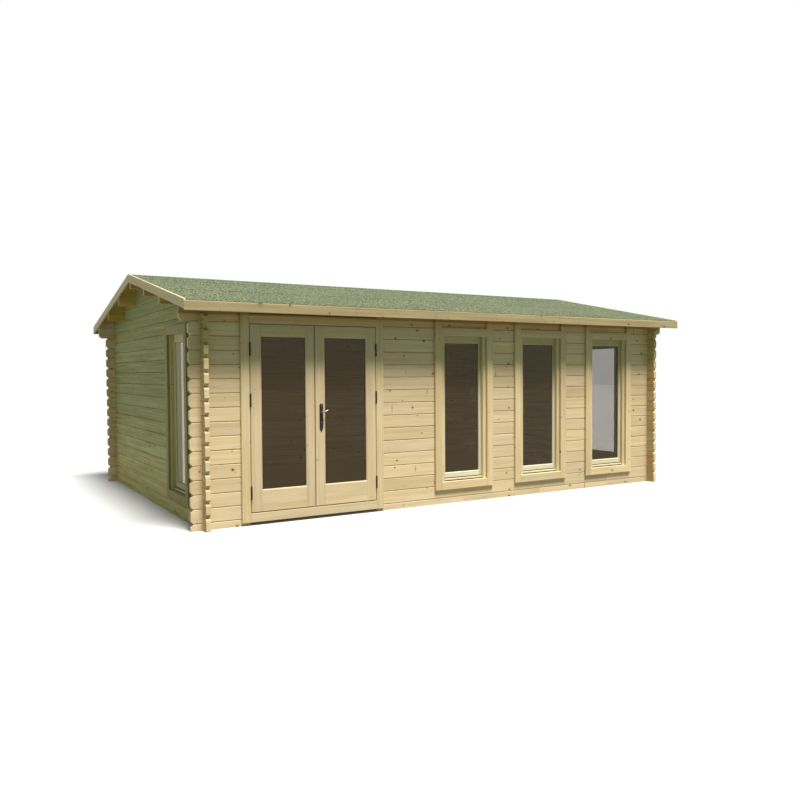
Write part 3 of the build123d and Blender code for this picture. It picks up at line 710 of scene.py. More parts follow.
class Finishes:
    """Every material of the cabin, made once."""

    def __init__(self) -> None:
        """Builds the materials."""
        breaks = (-2.2, -1.2, *WINDOW_XS)
        # Painted shade under the eaves on the front wall and its joinery: a green cast above about 1.52 m,
        # where the eaves' shadow falls, a warm cast above 1.95 m, and a dark painted shadow line just under
        # the fascia. The trims take a darker green cast.
        green = Band((0.79, 0.93, 0.83), 1.52, share=0.9)
        front = (green, Band((1.02, 0.86, 0.68), 1.95, 0.05), Band((0.62, 0.52, 0.34), 2.006, 0.006))
        trims = (Band((0.70, 0.80, 0.72), 1.52), *front[1:])
        # Painted shade of the gables: a green cast all over, partly the timber's treatment and partly the
        # green of the shade; darker above about 0.75 m and lighter below, a painted shade with painted ground
        # bounce; and a painted eaves shadow on the front log ends above 1.58 m. The gables' logs are a shaded
        # copy of the log timber.
        gable = (Band((1.05, 1.27, 0.98), reach=Reach.SHELTERED),
                 Band((0.6, 0.68, 0.63), 0.75, 0.45, reach=Reach.SHELTERED),
                 Band((0.72, 0.82, 0.56), 1.58, 0.08, reach=Reach.FRONT_ENDS))
        shade = {"ring_share": 0.6, "streak_share": 1.0, "seam_and_painted_top_shade": (0.8, 0.76, 0.68), "gloss": 0.08, "hue": 0.2}
        # The leaves also take a dark band along their bottom edge, a painted shadow of the gap above the
        # sill.
        leaf = (*trims, Band((0.5, 0.42, 0.32), 0.1305, 0.002, below=True))
        depth, length = (size / 2 - LOG_THICKNESS / 2 for size in (WALL_DEPTH, WALL_LENGTH))
        self.front_logs = Timber(seed=1.0, bands=front, streak_share=0.55, ring_share=0.26).material(
            "log_timber_front", Grain.ALONG_X, LOG_PITCH / 2, breaks, -depth)
        self.rear_logs = Timber(seed=2.0, bands=(Band((0.97, 1.0, 0.94)),)).material(
            "log_timber_rear", Grain.ALONG_X, LOG_PITCH / 2, (0.0,), depth)
        self.left_logs, self.right_logs = (
            Timber(seed=seed, bands=gable, **shade).material(
                f"log_timber_{name}", Grain.ALONG_Y, 0.0, (GABLE_WINDOW_Y,), side * length)
            for seed, (side, name) in zip((3.0, 4.0), SIDES))
        self._joinery(trims, leaf)
        self._roofing()
        self._fittings()

    def _joinery(self, trims: tuple[Band, ...], leaf: tuple[Band, ...]) -> None:
        """Timbers of the doors, the windows and their trims.

        Args:
            trims: tints of the trims and frames, painted shade under the eaves.
            leaf: tints of the door leaves: the same, with a painted shadow along their bottom edge.
        """
        smooth = {"pale": linear(230, 212, 166), "warm": linear(214, 190, 142), "knot_size": 0.009,
                  "knot_share": 0.4, "knot_height": 0.09, "knot_spacing": 0.55, "roughness": 0.55}
        leaves = {**smooth, "pale": linear(222, 204, 166), "warm": linear(210, 188, 145), "hue": 0.06}
        washed = {**smooth, "pale": linear(222, 220, 192), "warm": linear(206, 198, 164), "knot_share": 0.2}
        # The gable windows' joinery is a shaded copy: its greener, darker palette paints the shade that the
        # gables stand in.
        shaded = {**smooth, "pale": linear(215, 213, 158), "warm": linear(193, 184, 130),
                  "late": linear(160, 140, 85), "gloss": 0.15}
        # Painted shade: the gable trims that stand proud of the wall are darkened against the extra light
        # they catch.
        proud_trim_painted_shade = Band((0.5, 0.5, 0.33), RIGHT + 0.0006, 0.0004, across=True)
        self.joinery = Timber(seed=5.0, bands=trims, **smooth).boards("joinery_timber")
        self.leaf = Timber(seed=5.2, bands=leaf, **leaves).boards("leaf_timber")
        self.sill = Timber(seed=5.3, **leaves).boards("sill_timber")
        # Painted shade: the sashes darken above about 1.35 m, towards the eaves' shadow, on top of the trims'
        # tints.
        self.sash = Timber(seed=5.4, bands=(Band((0.76, 0.68, 0.52), 1.35, 0.3), *trims), **washed).boards(
            "sash_timber")
        self.gable_joinery = Timber(seed=5.5, bands=(proud_trim_painted_shade,), **shaded).boards("joinery_timber_gable")

    def _roofing(self) -> None:
        """Timbers of the roof and the floor."""
        # Painted highlight: the fascia's top 10 mm is made paler, as its lit top edge.
        edge = Band((1.5, 1.55, 1.45), deck(EAVES_Y) - 0.010, 0.002)
        self.fascia = Timber(pale=linear(184, 168, 124), warm=linear(156, 138, 96), late=linear(134, 110, 70),
                             knot=linear(70, 46, 24), knot_size=0.022, knot_spacing=0.5, knot_height=0.09,
                             knot_share=0.6, bands=(edge,), seed=6.0).boards("fascia_timber")
        self.barge = Timber(seed=7.0, bands=(Band((0.88, 0.98, 0.88)),), knot_height=0.09,
                            knot_size=0.011).boards("barge_timber")
        self.rough, self.soffit, self.purlin, self.floor = (
            Timber(pale=linear(*pale), warm=linear(*warm), seed=seed, roughness=roughness,
                   knot_height=height, knot_size=size).boards(f"{name}_timber")
            for name, pale, warm, seed, roughness, height, size in (
                ("rough", (214, 190, 142), (188, 160, 112), 8.0, 0.72, 0.1, 0.014),
                ("soffit", (190, 154, 82), (168, 130, 66), 8.5, 0.75, 0.1, 0.013),
                ("purlin", (208, 190, 90), (180, 160, 68), 8.8, 0.75, 0.12, 0.014),
                ("floor", (206, 182, 132), (182, 156, 108), 9.0, 0.6, 0.1, 0.012)))

    def _fittings(self) -> None:
        """Felt, glass, metals and rubber."""
        self.felt = Felt().material("mineral_felt")
        self.glass = Pane().material("clear_glass")
        self.iron = Metal(linear(34, 32, 30), linear(92, 84, 74), 0.7, 0.46, 0.35).material("black_metal")
        self.steel = Metal(linear(128, 124, 118), linear(84, 80, 74), 1.0, 0.3, 0.5, 0.6).material(
            "satin_steel")
        self.zinc = Metal(linear(150, 148, 142), linear(96, 92, 86), 0.9, 0.42, 0.6).material("zinc_nail")
        self.seal = Rubber().material("seal_and_shadow_strip_rubber")


# ---------------------------------------------------------------- meshes

Section = Sequence[tuple[float, float]]
Span = tuple[float, float]
Axes = tuple[Vector, Vector, Vector]
Cut = Callable[[float, float], Span]
LEVEL: Axes = (Vector((1, 0, 0)), Vector((0, 0, 1)), Vector((0, -1, 0)))


def eased(width: float, depth: float, radius: float) -> list[tuple[float, float]]:
    """A rectangle centred on the origin with its corners cut at the given radius."""
    w, d = width / 2, depth / 2
    r = min(radius, w * 0.6, d * 0.6)
    return [(-w + r, -d), (w - r, -d), (w, -d + r), (w, d - r), (w - r, d), (-w + r, d), (-w, d - r),
            (-w, -d + r)]


class Timbers:
    """Boards collected into one mesh, each with its own grain, tone and end faces."""

    def __init__(self, seed: int, place: Matrix | None = None) -> None:
        """Starts an empty collection with a fixed seed; its boards are given in the axes of its place.

        Args:
            seed: seed of its random tones.
            place: its axes; those of the world when left out.
        """
        self.random = random.Random(seed)
        self.place = place or Matrix()
        self.vertices: list[Vector] = []
        self.faces: list[list[int]] = []
        self.grain: list[Vector] = []
        self.tone: list[float] = []
        self.end: list[float] = []

    def member(self, section: Section, axes: Axes, origin: Vector, low: float, high: float,
               chamfer: float = 0.0015, cut: Cut | None = None) -> None:
        """Adds one straight timber.

        Args:
            section: closed outline as (wide, deep), anticlockwise when looking back along the grain.
            axes: directions of the grain, the width and the depth, right-handed.
            origin: point that the section's origin follows.
            low: start along the grain.
            high: end along the grain.
            chamfer: size of the bevel at both ends.
            cut: how far each end is moved along the grain at a (wide, deep) point.
        """
        run, wide, deep = axes
        points = [Vector((0.0, *p)) for p in section]
        centre = sum(points, Vector()) / len(points)
        reach_w = max(abs(p.y - centre.y) for p in points)
        reach_d = max(abs(p.z - centre.z) for p in points)
        draw = self.random
        shift = Vector((draw.uniform(0, 60), draw.choice((-1, 1)) * draw.uniform(0.01, 0.06),
                        draw.uniform(0.015, 0.05)))
        tone = draw.random()
        first = len(self.vertices)
        count = len(points)
        steps = [(low, 0, True), (low + chamfer, 0, False), (high - chamfer, 1, False), (high, 1, True)]
        for s, which, inset in steps:
            for p in points:
                y, z = p.y, p.z
                if inset:
                    y = centre.y + (y - centre.y) * (1 - chamfer / reach_w)
                    z = centre.z + (z - centre.z) * (1 - chamfer / reach_d)
                moved = s + (cut(y, z)[which] if cut else 0.0)
                self.vertices.append(origin + run * moved + wide * y + deep * z)
                self.grain.append(Vector((moved, y - centre.y, z - centre.z)) + shift)
                self.tone.append(tone)
        for ring in range(3):
            for k in range(count):
                a, b = first + ring * count + k, first + ring * count + (k + 1) % count
                self._face([a, b, b + count, a + count], 0.0)
        self._face(list(reversed(range(first, first + count))), 1.0)
        self._face(list(range(first + 3 * count, first + 4 * count)), 1.0)

    def _face(self, indices: list[int], end: float) -> None:
        """Adds one face."""
        self.faces.append(indices)
        self.end.append(end)

    def board(self, low: Sequence[float], high: Sequence[float], run: int, chamfer: float = 0.002) -> None:
        """Adds an upright box board between two corners, its grain along axis number run.

        Args:
            low: corner with the lowest coordinates.
            high: the opposite corner.
            run: axis number of the grain.
            chamfer: size of the eased edges.
        """
        lo, hi = Vector(low), Vector(high)
        middle, size = (lo + hi) / 2, hi - lo
        others = [a for a in range(3) if a != run]
        wide, deep = sorted(others, key=lambda a: -size[a])
        axes = [Vector([1.0 if k == a else 0.0 for k in range(3)]) for a in (run, wide, deep)]
        if axes[0].cross(axes[1]).dot(axes[2]) < 0:
            axes[2] = -axes[2]
        turn = self.place.to_3x3()
        self.member(eased(size[wide], size[deep], chamfer), tuple(turn @ a for a in axes),
                    self.place @ middle, -size[run] / 2, size[run] / 2, chamfer)

    def upright(self, side: int, xs: Span, ys: Span, zs: Span, chamfer: float) -> None:
        """Adds a standing board between two distances from the middle, on one side of it."""
        low, high = mirrored(side, *xs)
        self.board((low, ys[0], zs[0]), (high, ys[1], zs[1]), 2, chamfer)

    def rail(self, reach: float, ys: Span, zs: Span, chamfer: float) -> None:
        """Adds a level board that reaches equally far to both sides of the middle."""
        self.board((-reach, ys[0], zs[0]), (reach, ys[1], zs[1]), 0, chamfer)

    def level(self, section: Section, reach: float, chamfer: float, at: Sequence[float] = (0, 0, 0)) -> None:
        """Adds a level timber through at, its section as (up, out), that reaches equally far each way."""
        turn = self.place.to_3x3()
        self.member(_anticlockwise(section), tuple(turn @ axis for axis in LEVEL), self.place @ Vector(at),
                    -reach, reach, chamfer)

    def ring(self, xs: Span, zs: Span, profile: Section, back: float = 0.0) -> None:
        """Adds four mitred members round a rectangle whose face looks along -Y.

        Args:
            xs: left and right edge of the rectangle.
            zs: bottom and top edge of the rectangle.
            profile: closed outline as (inwards, back), from the rectangle's edge and the face.
            back: how far the face lies behind the place.
        """
        place = self.place @ Matrix.Translation((0, back, 0))
        turn = place.to_3x3()
        corners = [Vector((x, 0, z)) for x, z in zip((*xs, *reversed(xs)), (zs[0], zs[0], zs[1], zs[1]))]
        for a, b in zip(corners, [*corners[1:], corners[0]]):
            run = (b - a).normalized()
            inwards = Vector((-run.z, 0, run.x))
            deep = Vector((0, 1, 0))
            section = list(profile)
            if run.cross(inwards).dot(deep) < 0:
                section = [(w, -d) for w, d in reversed(section)]
                deep = -deep
            axes = tuple(turn @ axis for axis in (run, inwards, deep))
            self.member(_anticlockwise(section), axes, place @ a, 0.0, (b - a).length, MITRE_EDGE,
                        lambda w, d: (w, -w))

    def build(self, name: str, material: Material) -> Piece:
        """Turns the collection into a mesh object.

        Args:
            name: the piece's name.
            material: its finish.

        Returns:
            The piece, with its place in its mesh.
        """
        mesh = bpy.data.meshes.new(name)
        mesh.from_pydata([tuple(v) for v in self.vertices], [], self.faces)
        grain = mesh.attributes.new("grain", "FLOAT_VECTOR", "POINT")
        grain.data.foreach_set("vector", np.array(self.grain, np.float32).ravel())
        tone = mesh.attributes.new("tone", "FLOAT", "POINT")
        tone.data.foreach_set("value", np.array(self.tone, np.float32))
        end = mesh.attributes.new("end", "FLOAT", "FACE")
        end.data.foreach_set("value", np.array(self.end, np.float32))
        mesh.materials.append(material)
        mesh.validate()
        return link(name, mesh)

    def base(self, name: str) -> Piece:
        """The collection as the base of a row, which gives each board its own tone."""
        made = self.build(name, bpy.data.materials["rough_timber"])
        made.data.attributes.remove(made.data.attributes["tone"])
        return made


def mirrored(side: int, near: float, far: float, middle: float = 0.0) -> Span:
    """The low and high X of what lies between two distances from a middle, on one side of it."""
    low, high = sorted((middle + side * near, middle + side * far))
    return low, high


def _anticlockwise(section: Section) -> list[tuple[float, float]]:
    """The outline in the order that members take."""
    area = sum(a[0] * b[1] - b[0] * a[1] for a, b in zip(section, [*section[1:], section[0]]))
    return list(section) if area > 0 else list(reversed(section))


def link(name: str, mesh: bpy.types.Mesh) -> Piece:
    """A mesh as an object of the scene."""
    made = bpy.data.objects.new(name, mesh)
    bpy.context.scene.collection.objects.link(made)
    return made


class Parts:
    """Hands finished pieces to the frame and reports them."""

    @staticmethod
    def add(piece: Piece, body: str, slot: str, *nodes: str) -> Piece:
        """Rides a piece on a body and hides the nodes that it stands for.

        Args:
            piece: the finished piece.
            body: the body that it moves with.
            slot: its material slot; not used.
            nodes: CAD nodes that it stands for.

        Returns:
            The piece.
        """
        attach(piece, body)
        if nodes:
            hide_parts(*nodes)
        LOG.info("%s on %s: %d faces", piece.name, body, len(piece.data.polygons))
        return piece

    @staticmethod
    def dress(names: Iterable[str], material: Material) -> None:
        """Gives CAD nodes a material.

        Args:
            names: the nodes' names.
            material: their finish.
        """
        for name in names:
            data = frame["nodes"][name].data
            if data.materials:
                data.materials[0] = material
            else:
                data.materials.append(material)
            LOG.info("%s dressed with %s", name, material.name)


def slope_axes(front: bool) -> tuple[Vector, Vector]:
    """Direction up a roof slope to the ridge, and the slope's outward normal."""
    sign = 1.0 if front else -1.0
    rise = math.sin(ROOF_PITCH)
    return Vector((0, sign * RUN, rise)), Vector((0, -sign * rise, RUN))


def rounded(value: float) -> float:
    """A sine or cosine pushed outwards, for an oval with flatter sides."""
    return math.copysign(abs(value) ** 0.75, value)


def closed(work: bmesh.types.BMesh, name: str, material: Material, crease: float) -> Piece:
    """Turns a closed form into an object with outward faces.

    Args:
        work: the form; it is freed.
        name: the object's name.
        material: its material.
        crease: edges above this angle in degrees stay sharp.

    Returns:
        The new object.
    """
    bmesh.ops.recalc_face_normals(work, faces=work.faces)
    mesh = bpy.data.meshes.new(name)
    work.to_mesh(mesh)
    work.free()
    mesh.materials.append(material)
    mesh.polygons.foreach_set("use_smooth", [True] * len(mesh.polygons))
    mesh.set_sharp_from_angle(angle=math.radians(crease))
    return link(name, mesh)


class Forms:
    """Closed metal forms collected into one mesh."""

    def __init__(self) -> None:
        """Starts an empty collection."""
        self.work = bmesh.new()

    def skin(self, rings: Sequence[Sequence[bmesh.types.BMVert]]) -> None:
        """Joins rings of equal length with faces and closes both ends.

        Args:
            rings: corners of each ring, in order along the skin.
        """
        for one, other in zip(rings, rings[1:]):
            for corners in zip(one, [*one[1:], one[0]], [*other[1:], other[0]], other):
                self.work.faces.new(corners)
        for ring in (rings[0], rings[-1]):
            self.work.faces.new(ring)

    def loft(self, rings: Sequence[Sequence[Vector]]) -> None:
        """Adds a form through rings of equal length, closed at both ends."""
        self.skin([[self.work.verts.new(p) for p in ring] for ring in rings])

    def turned(self, outline: Sequence[tuple[float, float]], place: Matrix, count: int = 20) -> None:
        """Adds a form turned about the local Z axis.

        Args:
            outline: (radius, height) points that start and end on the axis.
            place: where the local axes lie.
            count: sides.
        """
        angles = [2 * math.pi * k / count for k in range(count)]
        rings = []
        for radius, height in outline:
            turns = [(math.cos(a), math.sin(a)) for a in angles] if radius > 1e-9 else [(0, 0)]
            around = [(radius * c, radius * s) for c, s in turns]
            rings.append([self.work.verts.new(place @ Vector((x, y, height))) for x, y in around])
        for one, other in zip(rings, rings[1:]):
            for k, after in zip(range(count), [*range(1, count), 0]):
                corners = [one[k % len(one)], one[after % len(one)], other[after % len(other)],
                           other[k % len(other)]]
                self.work.faces.new(list(dict.fromkeys(corners)))

    def slab(self, low: Sequence[float], high: Sequence[float], edge: float) -> None:
        """Adds a plate between two corners with its edges bevelled.

        Args:
            low, high: its opposite corners.
            edge: width of the bevel.
        """
        made = bmesh.ops.create_cube(self.work, size=1.0)["verts"]
        size = Vector(high) - Vector(low)
        middle = (Vector(high) + Vector(low)) / 2
        for vertex in made:
            vertex.co = middle + Vector(c * s for c, s in zip(vertex.co, size))
        found = list(dict.fromkeys(e for v in made for e in v.link_edges))
        bmesh.ops.bevel(self.work, geom=found, offset=edge, segments=1, affect="EDGES")

    def build(self, name: str, material: Material) -> Piece:
        """Turns the collection into an object."""
        return closed(self.work, name, material, 38.0)


def softened(node: str, name: str, width: float, material: Material) -> Piece:
    """A copy of a CAD node with its edges rounded.

    Args:
        node: the node's name.
        name: the new object's name.
        width: width of the rounding.
        material: its material.

    Returns:
        The new object, a plain mesh.
    """
    work = bmesh.new()
    work.from_mesh(frame["nodes"][node].data)
    bmesh.ops.remove_doubles(work, verts=work.verts, dist=1e-5)
    bmesh.ops.dissolve_limit(work, angle_limit=math.radians(1), verts=work.verts, edges=work.edges)
    rough = closed(work, name, material, 30.0)
    bevel = rough.modifiers.new("edges", "BEVEL")
    bevel.width, bevel.segments, bevel.limit_method, bevel.angle_limit = width, 2, "ANGLE", math.radians(50)
    mesh = bpy.data.meshes.new_from_object(rough.evaluated_get(bpy.context.evaluated_depsgraph_get()))
    bpy.data.objects.remove(rough)
    mesh.name = name
    return link(name, mesh)


def nail_head() -> Piece:
    """A round nail head of unit radius, flat on top."""
    forms = Forms()
    outline = [(0.0, -0.3), (1.0, -0.3), (1.0, 0.1), (0.86, 0.24), (0.0, 0.28)]
    forms.turned(outline, Matrix(), 10)
    return forms.build("nail_head", bpy.data.materials["zinc_nail"])


def screw_head() -> Piece:
    """A screw head of unit radius with a cross recess.

    Returns:
        The head, with its top towards +Z.
    """
    forms = Forms()
    work = forms.work
    arm, reach, deep = 0.13, 0.55, 0.22
    quarter = [(arm, arm), (arm, reach), (-arm, reach)]
    cross = [(x * math.cos(a) - y * math.sin(a), x * math.sin(a) + y * math.cos(a))
             for a in (math.pi / 2 * k for k in range(4)) for x, y in quarter]
    top = [work.verts.new((x, y, 0.25)) for x, y in cross]
    foot = [work.verts.new((x * 0.8, y * 0.8, 0.25 - deep)) for x, y in cross]
    angles = [2 * math.pi * k / len(cross) + 0.5 for k in range(len(cross))]
    rims = [[work.verts.new((r * math.cos(a), r * math.sin(a), z)) for a in angles]
            for r, z in ((0.8, 0.25), (1.0, 0.08), (1.0, -0.2))]
    start = min(range(len(cross)), key=lambda k: (rims[0][k].co - top[0].co).length)
    forms.skin([foot, top, *([*rim[start:], *rim[:start]] for rim in rims)])
    return forms.build("screw_head", bpy.data.materials["zinc_nail"])


# ---------------------------------------------------------------- repeated pieces

class Tree(Graph):
    """A Geometry Nodes tree with named inputs."""

    def __init__(self, name: str) -> None:
        """Makes a tree that takes and gives geometry.

        Args:
            name: name that it gets.
        """
        group = bpy.data.node_groups.new(name, "GeometryNodeTree")
        super().__init__(group)
        group.interface.new_socket("Geometry", in_out="INPUT", socket_type="NodeSocketGeometry")
        group.interface.new_socket("Geometry", in_out="OUTPUT", socket_type="NodeSocketGeometry")
        self.identifiers: dict[str, str] = {}
        self.source = self.node("NodeGroupInput")
        self.result = self.node("NodeGroupOutput")

    def input(self, name: str, kind: str) -> None:
        """Adds a named input."""
        made = self.tree.interface.new_socket(name, in_out="INPUT", socket_type=kind)
        self.identifiers[name] = made.identifier

    def given(self, name: str) -> Socket:
        """The socket of a named input."""
        return self.source.outputs[name]

    def named(self, name: str, kind: str) -> Socket:
        """The value of a named attribute of the given data type."""
        return self.node("GeometryNodeInputNamedAttribute", {"data_type": kind}, {"Name": name}).outputs[0]

    def stored(self, geometry: Socket, name: str, kind: str, domain: str, value: Socket) -> Socket:
        """The geometry with a value kept as a named attribute."""
        return self.node("GeometryNodeStoreNamedAttribute", {"data_type": kind, "domain": domain},
                         {"Geometry": geometry, "Name": name, "Value": value}).outputs[0]

    def chance(self, kind: str, limits: dict[str, Any]) -> Socket:
        """A random value for each instance, from the named input Seed.

        Args:
            kind: data type, FLOAT or FLOAT_VECTOR.
            limits: the node's lowest and highest value, by identifier.

        Returns:
            The socket of the random value.
        """
        index = self.node("GeometryNodeInputIndex")
        made = self.node("FunctionNodeRandomValue", {"data_type": kind},
                         {**limits, "ID": index.outputs[0], "Seed": self.given("Seed")})
        wanted = {"FLOAT": "VALUE", "FLOAT_VECTOR": "VECTOR"}[kind]
        return next(s for s in made.outputs if s.enabled and s.type == wanted)

    def end(self, geometry: Socket, material: Material) -> None:
        """Realizes the instances, sets the material and ends the tree."""
        real = self.node("GeometryNodeRealizeInstances", {}, {"Geometry": geometry})
        done = self.node("GeometryNodeSetMaterial", {}, {"Geometry": real.outputs[0], "Material": material})
        self.tree.links.new(done.outputs[0], self.result.inputs[0])

    def apply(self, name: str, base: Piece, values: dict[str, Any]) -> Piece:
        """Runs the tree on a base object.

        Args:
            name: name of the plain mesh object that results.
            base: object that the tree starts from; it is removed.
            values: named inputs.

        Returns:
            The result as a plain mesh object.
        """
        modifier = base.modifiers.new(name, "NODES")
        modifier.node_group = self.tree
        for key, value in values.items():
            modifier[self.identifiers[key]] = value
        bpy.context.view_layer.update()
        evaluated = base.evaluated_get(bpy.context.evaluated_depsgraph_get())
        mesh = bpy.data.meshes.new_from_object(evaluated)
        mesh.name = name
        base.modifiers.remove(modifier)
        bpy.data.objects.remove(base)
        return link(name, mesh)


class BoardRow(Tree):
    """Equal boards side by side, each with its own tone and grain."""

    def __init__(self, material: Material) -> None:
        """Builds the tree.

        Args:
            material: finish of what it makes.
        """
        super().__init__("board_row")
        for name, kind in (("Count", "Int"), ("Step", "Vector"), ("Seed", "Int")):
            self.input(name, f"NodeSocket{kind}")
        line = self.node("GeometryNodeMeshLine", {"mode": "OFFSET"},
                         {"Count": self.given("Count"), "Offset": self.given("Step")})
        boards = self.node("GeometryNodeInstanceOnPoints", {},
                           {"Points": line.outputs[0], "Instance": self.given("Geometry")})
        number = self.chance("FLOAT", {"Min_001": 0.0, "Max_001": 1.0})
        toned = self.stored(boards.outputs[0], "tone", "FLOAT", "INSTANCE", number)
        real = self.node("GeometryNodeRealizeInstances", {}, {"Geometry": toned})
        apart = self.node("ShaderNodeVectorMath", {"operation": "SCALE"},
                          {0: (37.0, 0.0, 0.03), "Scale": self.named("tone", "FLOAT")})
        moved = self.node("ShaderNodeVectorMath", {"operation": "ADD"},
                          {0: self.named("grain", "FLOAT_VECTOR"), 1: apart.outputs[0]})
        self.end(self.stored(real.outputs[0], "grain", "FLOAT_VECTOR", "POINT", moved.outputs[0]), material)


class Fixings(Tree):
    """Nail or screw heads at even spacing along rows, each turned at random."""

    def __init__(self, material: Material) -> None:
        """Builds the tree.

        Args:
            material: finish of what it makes.
        """
        super().__init__("fixings")
        for name, kind in (("Head", "Object"), ("Spacing", "Float"), ("Size", "Float"), ("Seed", "Int")):
            self.input(name, f"NodeSocket{kind}")
        curves = self.node("GeometryNodeMeshToCurve", {}, {"Mesh": self.given("Geometry")})
        spaced = self.node("GeometryNodeResampleCurve", {"mode": "LENGTH"},
                           {"Curve": curves.outputs[0], "Length": self.given("Spacing")})
        turn = self.node("FunctionNodeAlignRotationToVector", {"axis": "Z"},
                         {"Vector": self.named("facing", "FLOAT_VECTOR")})
        head = self.node("GeometryNodeObjectInfo", {}, {"Object": self.given("Head")})
        size = self.node("ShaderNodeCombineXYZ", {}, {k: self.given("Size") for k in range(3)})
        heads = self.node("GeometryNodeInstanceOnPoints", {}, {
            "Points": spaced.outputs[0], "Instance": head.outputs["Geometry"], "Rotation": turn.outputs[0],
            "Scale": size.outputs[0]})
        spin = self.chance("FLOAT_VECTOR", {"Min": (0.0, 0.0, 0.0), "Max": (0.0, 0.0, math.tau)})
        turned = self.node("GeometryNodeRotateInstances", {},
                           {"Instances": heads.outputs[0], "Rotation": spin})
        self.end(turned.outputs[0], material)


Row = tuple[Sequence[float], Sequence[float], Vector]


def rows(name: str, found: Sequence[Row]) -> Piece:
    """An object of loose edges, each with the direction that its heads face.

    Args:
        name: the object's name.
        found: both ends and the facing of each row.

    Returns:
        The object, for the fixings to start from.
    """
    mesh = bpy.data.meshes.new(name)
    points = [tuple(p) for one, other, _ in found for p in (one, other)]
    mesh.from_pydata(points, [(2 * k, 2 * k + 1) for k in range(len(found))], [])
    facing = mesh.attributes.new("facing", "FLOAT_VECTOR", "POINT")
    facing.data.foreach_set("vector", [c for row in found for _ in range(2) for c in row[2]])
    return link(name, mesh)


# ---------------------------------------------------------------- sub-assemblies

@dataclass
class Walls:
    """Log walls: the frame's own solids, dressed by wall."""

    finishes: Finishes
    front: tuple[str, ...] = ("front_wall_left_end", "front_wall_base_logs", "front_wall_pier_1",
                              "front_wall_pier_2", "front_wall_pier_3", "front_wall_right_end",
                              "front_eaves_log")

    def build(self) -> None:
        """Dresses the walls."""
        Parts.dress(self.front, self.finishes.front_logs)
        Parts.dress(["rear_wall"], self.finishes.rear_logs)
        parts = ("base_logs", "front_pier", "rear_panel", "top")
        for side, material in (("left", self.finishes.left_logs), ("right", self.finishes.right_logs)):
            Parts.dress([f"{side}_gable_{part}" for part in parts], material)


@dataclass(frozen=True)
class Glazing:
    """The moulded edge, the rear bead and the two seals that hold a pane."""

    setback: float
    shoulder: float
    moulding: float = 0.009
    thickness: float = 0.004
    bead_back: float = 0.0365

    def around(self, hole: Span) -> Span:
        """The edges of a glazed opening moved outwards by the moulding."""
        return hole[0] - self.moulding, hole[1] + self.moulding

    def beads(self, timbers: Timbers, xs: Span, zs: Span, front: float = 0.0) -> None:
        """Adds the moulded edge before the pane and the bead behind it.

        Args:
            timbers: where they are collected.
            xs: left and right edge, moved outwards by the moulding.
            zs: bottom and top edge, moved outwards by the moulding.
            front: how far the sash's face lies behind the place.
        """
        m, glass, back, end = self.moulding, self.setback, self.setback + self.thickness, self.bead_back
        bead = [(0.0, 0.0015), (0.0035, 0.002), (0.0065, 0.0045), (m, 0.0095), (m, glass), (0.0, glass)]
        rear = [(0.0, back), (m, back), (m, self.shoulder), (0.005, end), (0.0, end)]
        for profile in (bead, rear):
            timbers.ring(xs, zs, profile, front)

    def seals(self, timbers: Timbers, xs: Span, zs: Span, front: float = 0.0) -> None:
        """Adds a seal on each face of the pane, round its visible opening.

        Args:
            timbers: collection that takes them.
            xs, zs: reach of the opening.
            front: Y of the face that the pane is set back from.
        """
        outer = [(-0.001, -0.003), (0.004, -0.0012), (0.004, 0.0), (-0.001, 0.0)]
        inner = [(-0.001, 0.0), (0.004, 0.0), (0.004, 0.0012), (-0.001, 0.003)]
        face = front + self.setback
        for profile, y in ((outer, face), (inner, face + self.thickness)):
            timbers.ring(xs, zs, profile, y)


